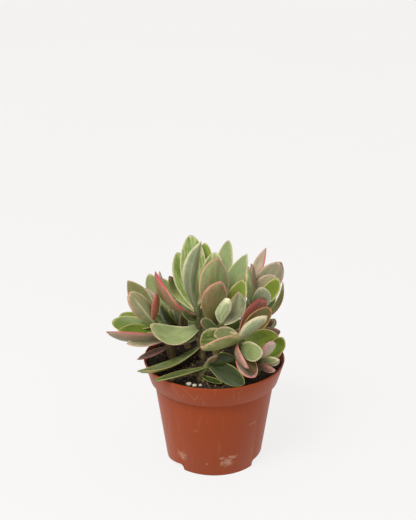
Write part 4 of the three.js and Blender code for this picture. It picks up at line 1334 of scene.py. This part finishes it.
# The band's inner border follows the streaks, so that it ends in little tongues.
tongues = add_node(
    tree, "ShaderNodeMath", {"operation": "MULTIPLY_ADD"},
    {0: streak.outputs["Fac"], 1: -2.4, 2: 1.2},
)
ragged = add_node(
    tree, "ShaderNodeMath", {"operation": "ADD"},
    {0: band_gap.outputs["Fac"], 1: tongues.outputs[0]},
)
in_band = add_node(
    tree, "ShaderNodeMapRange", {"interpolation_type": "SMOOTHSTEP"},
    {"Value": ragged.outputs[0], "From Min": 1.7, "From Max": 0.5, "To Max": 0.85},
)
banded = add_node(
    tree, "ShaderNodeMix", {"data_type": "RGBA"},
    {0: in_band.outputs[0], 6: keeled.outputs[2], 7: band.outputs["Color"]},
)
in_edge = add_node(
    tree, "ShaderNodeMapRange", {"interpolation_type": "SMOOTHSTEP"},
    {"Value": edge_gap.outputs["Fac"], "From Min": 1.5, "From Max": 0.5, "To Max": 1.0},
)
edged = add_node(
    tree, "ShaderNodeMix", {"data_type": "RGBA"},
    {0: in_edge.outputs[0], 6: banded.outputs[2], 7: edge_tone.outputs["Color"]},
)
flecked = add_node(
    tree, "ShaderNodeMapRange", {},
    {"Value": fleck.outputs["Fac"], "From Min": 0.3, "From Max": 0.7, "To Min": 0.78, "To Max": 1.22},
)
skin = add_node(
    tree, "ShaderNodeHueSaturation", {},
    {"Color": edged.outputs[2], "Value": flecked.outputs[0]},
)
rough = add_node(
    tree, "ShaderNodeMapRange", {},
    {"Value": streak.outputs["Fac"], "To Min": 0.30, "To Max": 0.50},
)
height = add_node(
    tree, "ShaderNodeMath", {"operation": "MULTIPLY_ADD"},
    {0: fleck.outputs["Fac"], 1: 0.4, 2: streak.outputs["Fac"]},
)
# The edge stands a little proud, like piping.
piping = add_node(
    tree, "ShaderNodeMath", {"operation": "MULTIPLY_ADD"},
    {0: in_edge.outputs[0], 1: 0.5, 2: height.outputs[0]},
)
bump = add_node(
    tree, "ShaderNodeBump", {},
    {"Height": piping.outputs[0], "Strength": 0.35, "Distance": 0.3 * MM},
)
wax = add_node(
    tree, "ShaderNodeBsdfPrincipled", {},
    {"Base Color": skin.outputs[0], "Roughness": rough.outputs[0], "Normal": bump.outputs[0], "IOR": 1.42,
     "Subsurface Weight": 0.10, "Subsurface Scale": 1.2 * MM, "Subsurface Radius": (1.0, 0.9, 0.35)},
)
finish_material(tree, wax)
print("leaf skin:", len(tree.nodes), "nodes")

# %% [markdown]
# The stem's bark is green flesh near the crown and grey-brown cork near the soil, flecked and
# finely cracked along its length, with a paler ring at each scar.

# %% Material: jade stem
stem_material, tree = new_material("corky_jade_stem")
state = add_node(tree, "ShaderNodeAttribute", {"attribute_name": "band"})
grain = add_node(tree, "ShaderNodeAttribute", {"attribute_name": "grain"})
parts = add_node(tree, "ShaderNodeSeparateColor", {}, {"Color": state.outputs["Color"]})
# Fissures about 0.9 mm apart round the stem and 4.5 mm long.
long_way = add_node(
    tree, "ShaderNodeMapping", {},
    {"Vector": grain.outputs["Vector"], "Scale": (1.1, 0.22, 1.0)},
)
fissure = add_node(
    tree, "ShaderNodeTexNoise", {},
    {"Vector": long_way.outputs[0], "Scale": 1.0, "Detail": 4.0, "Roughness": 0.7},
)
corky = add_node(
    tree, "ShaderNodeMath", {"operation": "MULTIPLY_ADD"},
    {0: fissure.outputs["Fac"], 1: 0.7, 2: parts.outputs["Blue"]},
)
age = add_node(
    tree, "ShaderNodeMapRange", {"interpolation_type": "SMOOTHSTEP"},
    {"Value": corky.outputs[0], "From Min": 0.55, "From Max": 1.25},
)
tone = add_node(
    tree, "ShaderNodeMix", {"data_type": "RGBA"},
    {0: age.outputs[0], 6: linear("#7A6546"), 7: linear("#626B38")},
)
dark = add_node(
    tree, "ShaderNodeMapRange", {},
    {"Value": fissure.outputs["Fac"], "From Min": 0.3, "From Max": 0.7, "To Min": 0.62, "To Max": 1.2},
)
shaded = add_node(
    tree, "ShaderNodeHueSaturation", {},
    {"Color": tone.outputs[2], "Value": dark.outputs[0]},
)
scarred = add_node(
    tree, "ShaderNodeMix", {"data_type": "RGBA"},
    {0: parts.outputs["Green"], 6: shaded.outputs[0], 7: linear("#8A7A54")},
)
bump = add_node(
    tree, "ShaderNodeBump", {},
    {"Height": fissure.outputs["Fac"], "Strength": 0.6, "Distance": 0.4 * MM},
)
cork = add_node(
    tree, "ShaderNodeBsdfPrincipled", {},
    {"Base Color": scarred.outputs[2], "Roughness": 0.62, "Normal": bump.outputs[0]},
)
finish_material(tree, cork)

# %% [markdown]
# Now the plan is grown. Each leafy stem is one piece that stands for one solid: its shoots, then
# their leaves, all in one mesh with the leaf skin and the stem bark as its two materials.

# %% Grow the leafy stems
leaf_number = 0
for stem_number, (node, shoots) in enumerate(LEAFY_STEMS.items()):
    shape = bmesh.new()
    layers = {
        "core": shape.verts.layers.float_color.new("core"),
        "streak": shape.verts.layers.float_color.new("streak"),
        "band": shape.verts.layers.float_color.new("band"),
        "edge": shape.verts.layers.float_color.new("edge"),
        "band_gap": shape.verts.layers.float.new("band_gap"),
        "edge_gap": shape.verts.layers.float.new("edge_gap"),
        "beside": shape.verts.layers.float.new("beside"),
        "keel": shape.verts.layers.float.new("keel"),
        "grain": shape.verts.layers.float_vector.new("grain"),
    }
    for shoot in shoots:
        add_stem(shape, layers, shoot, stem_number)
        for leaf in shoot["leaves"]:
            leaf_number += 1
            add_leaf(shape, layers, shoot, leaf, leaf_number)
    make_piece(node.replace("stem", "leafy"), shape, [leaf_material, stem_material], [node], 180)
print("leaves:", leaf_number)

# %% Update the scene
bpy.context.view_layer.update()
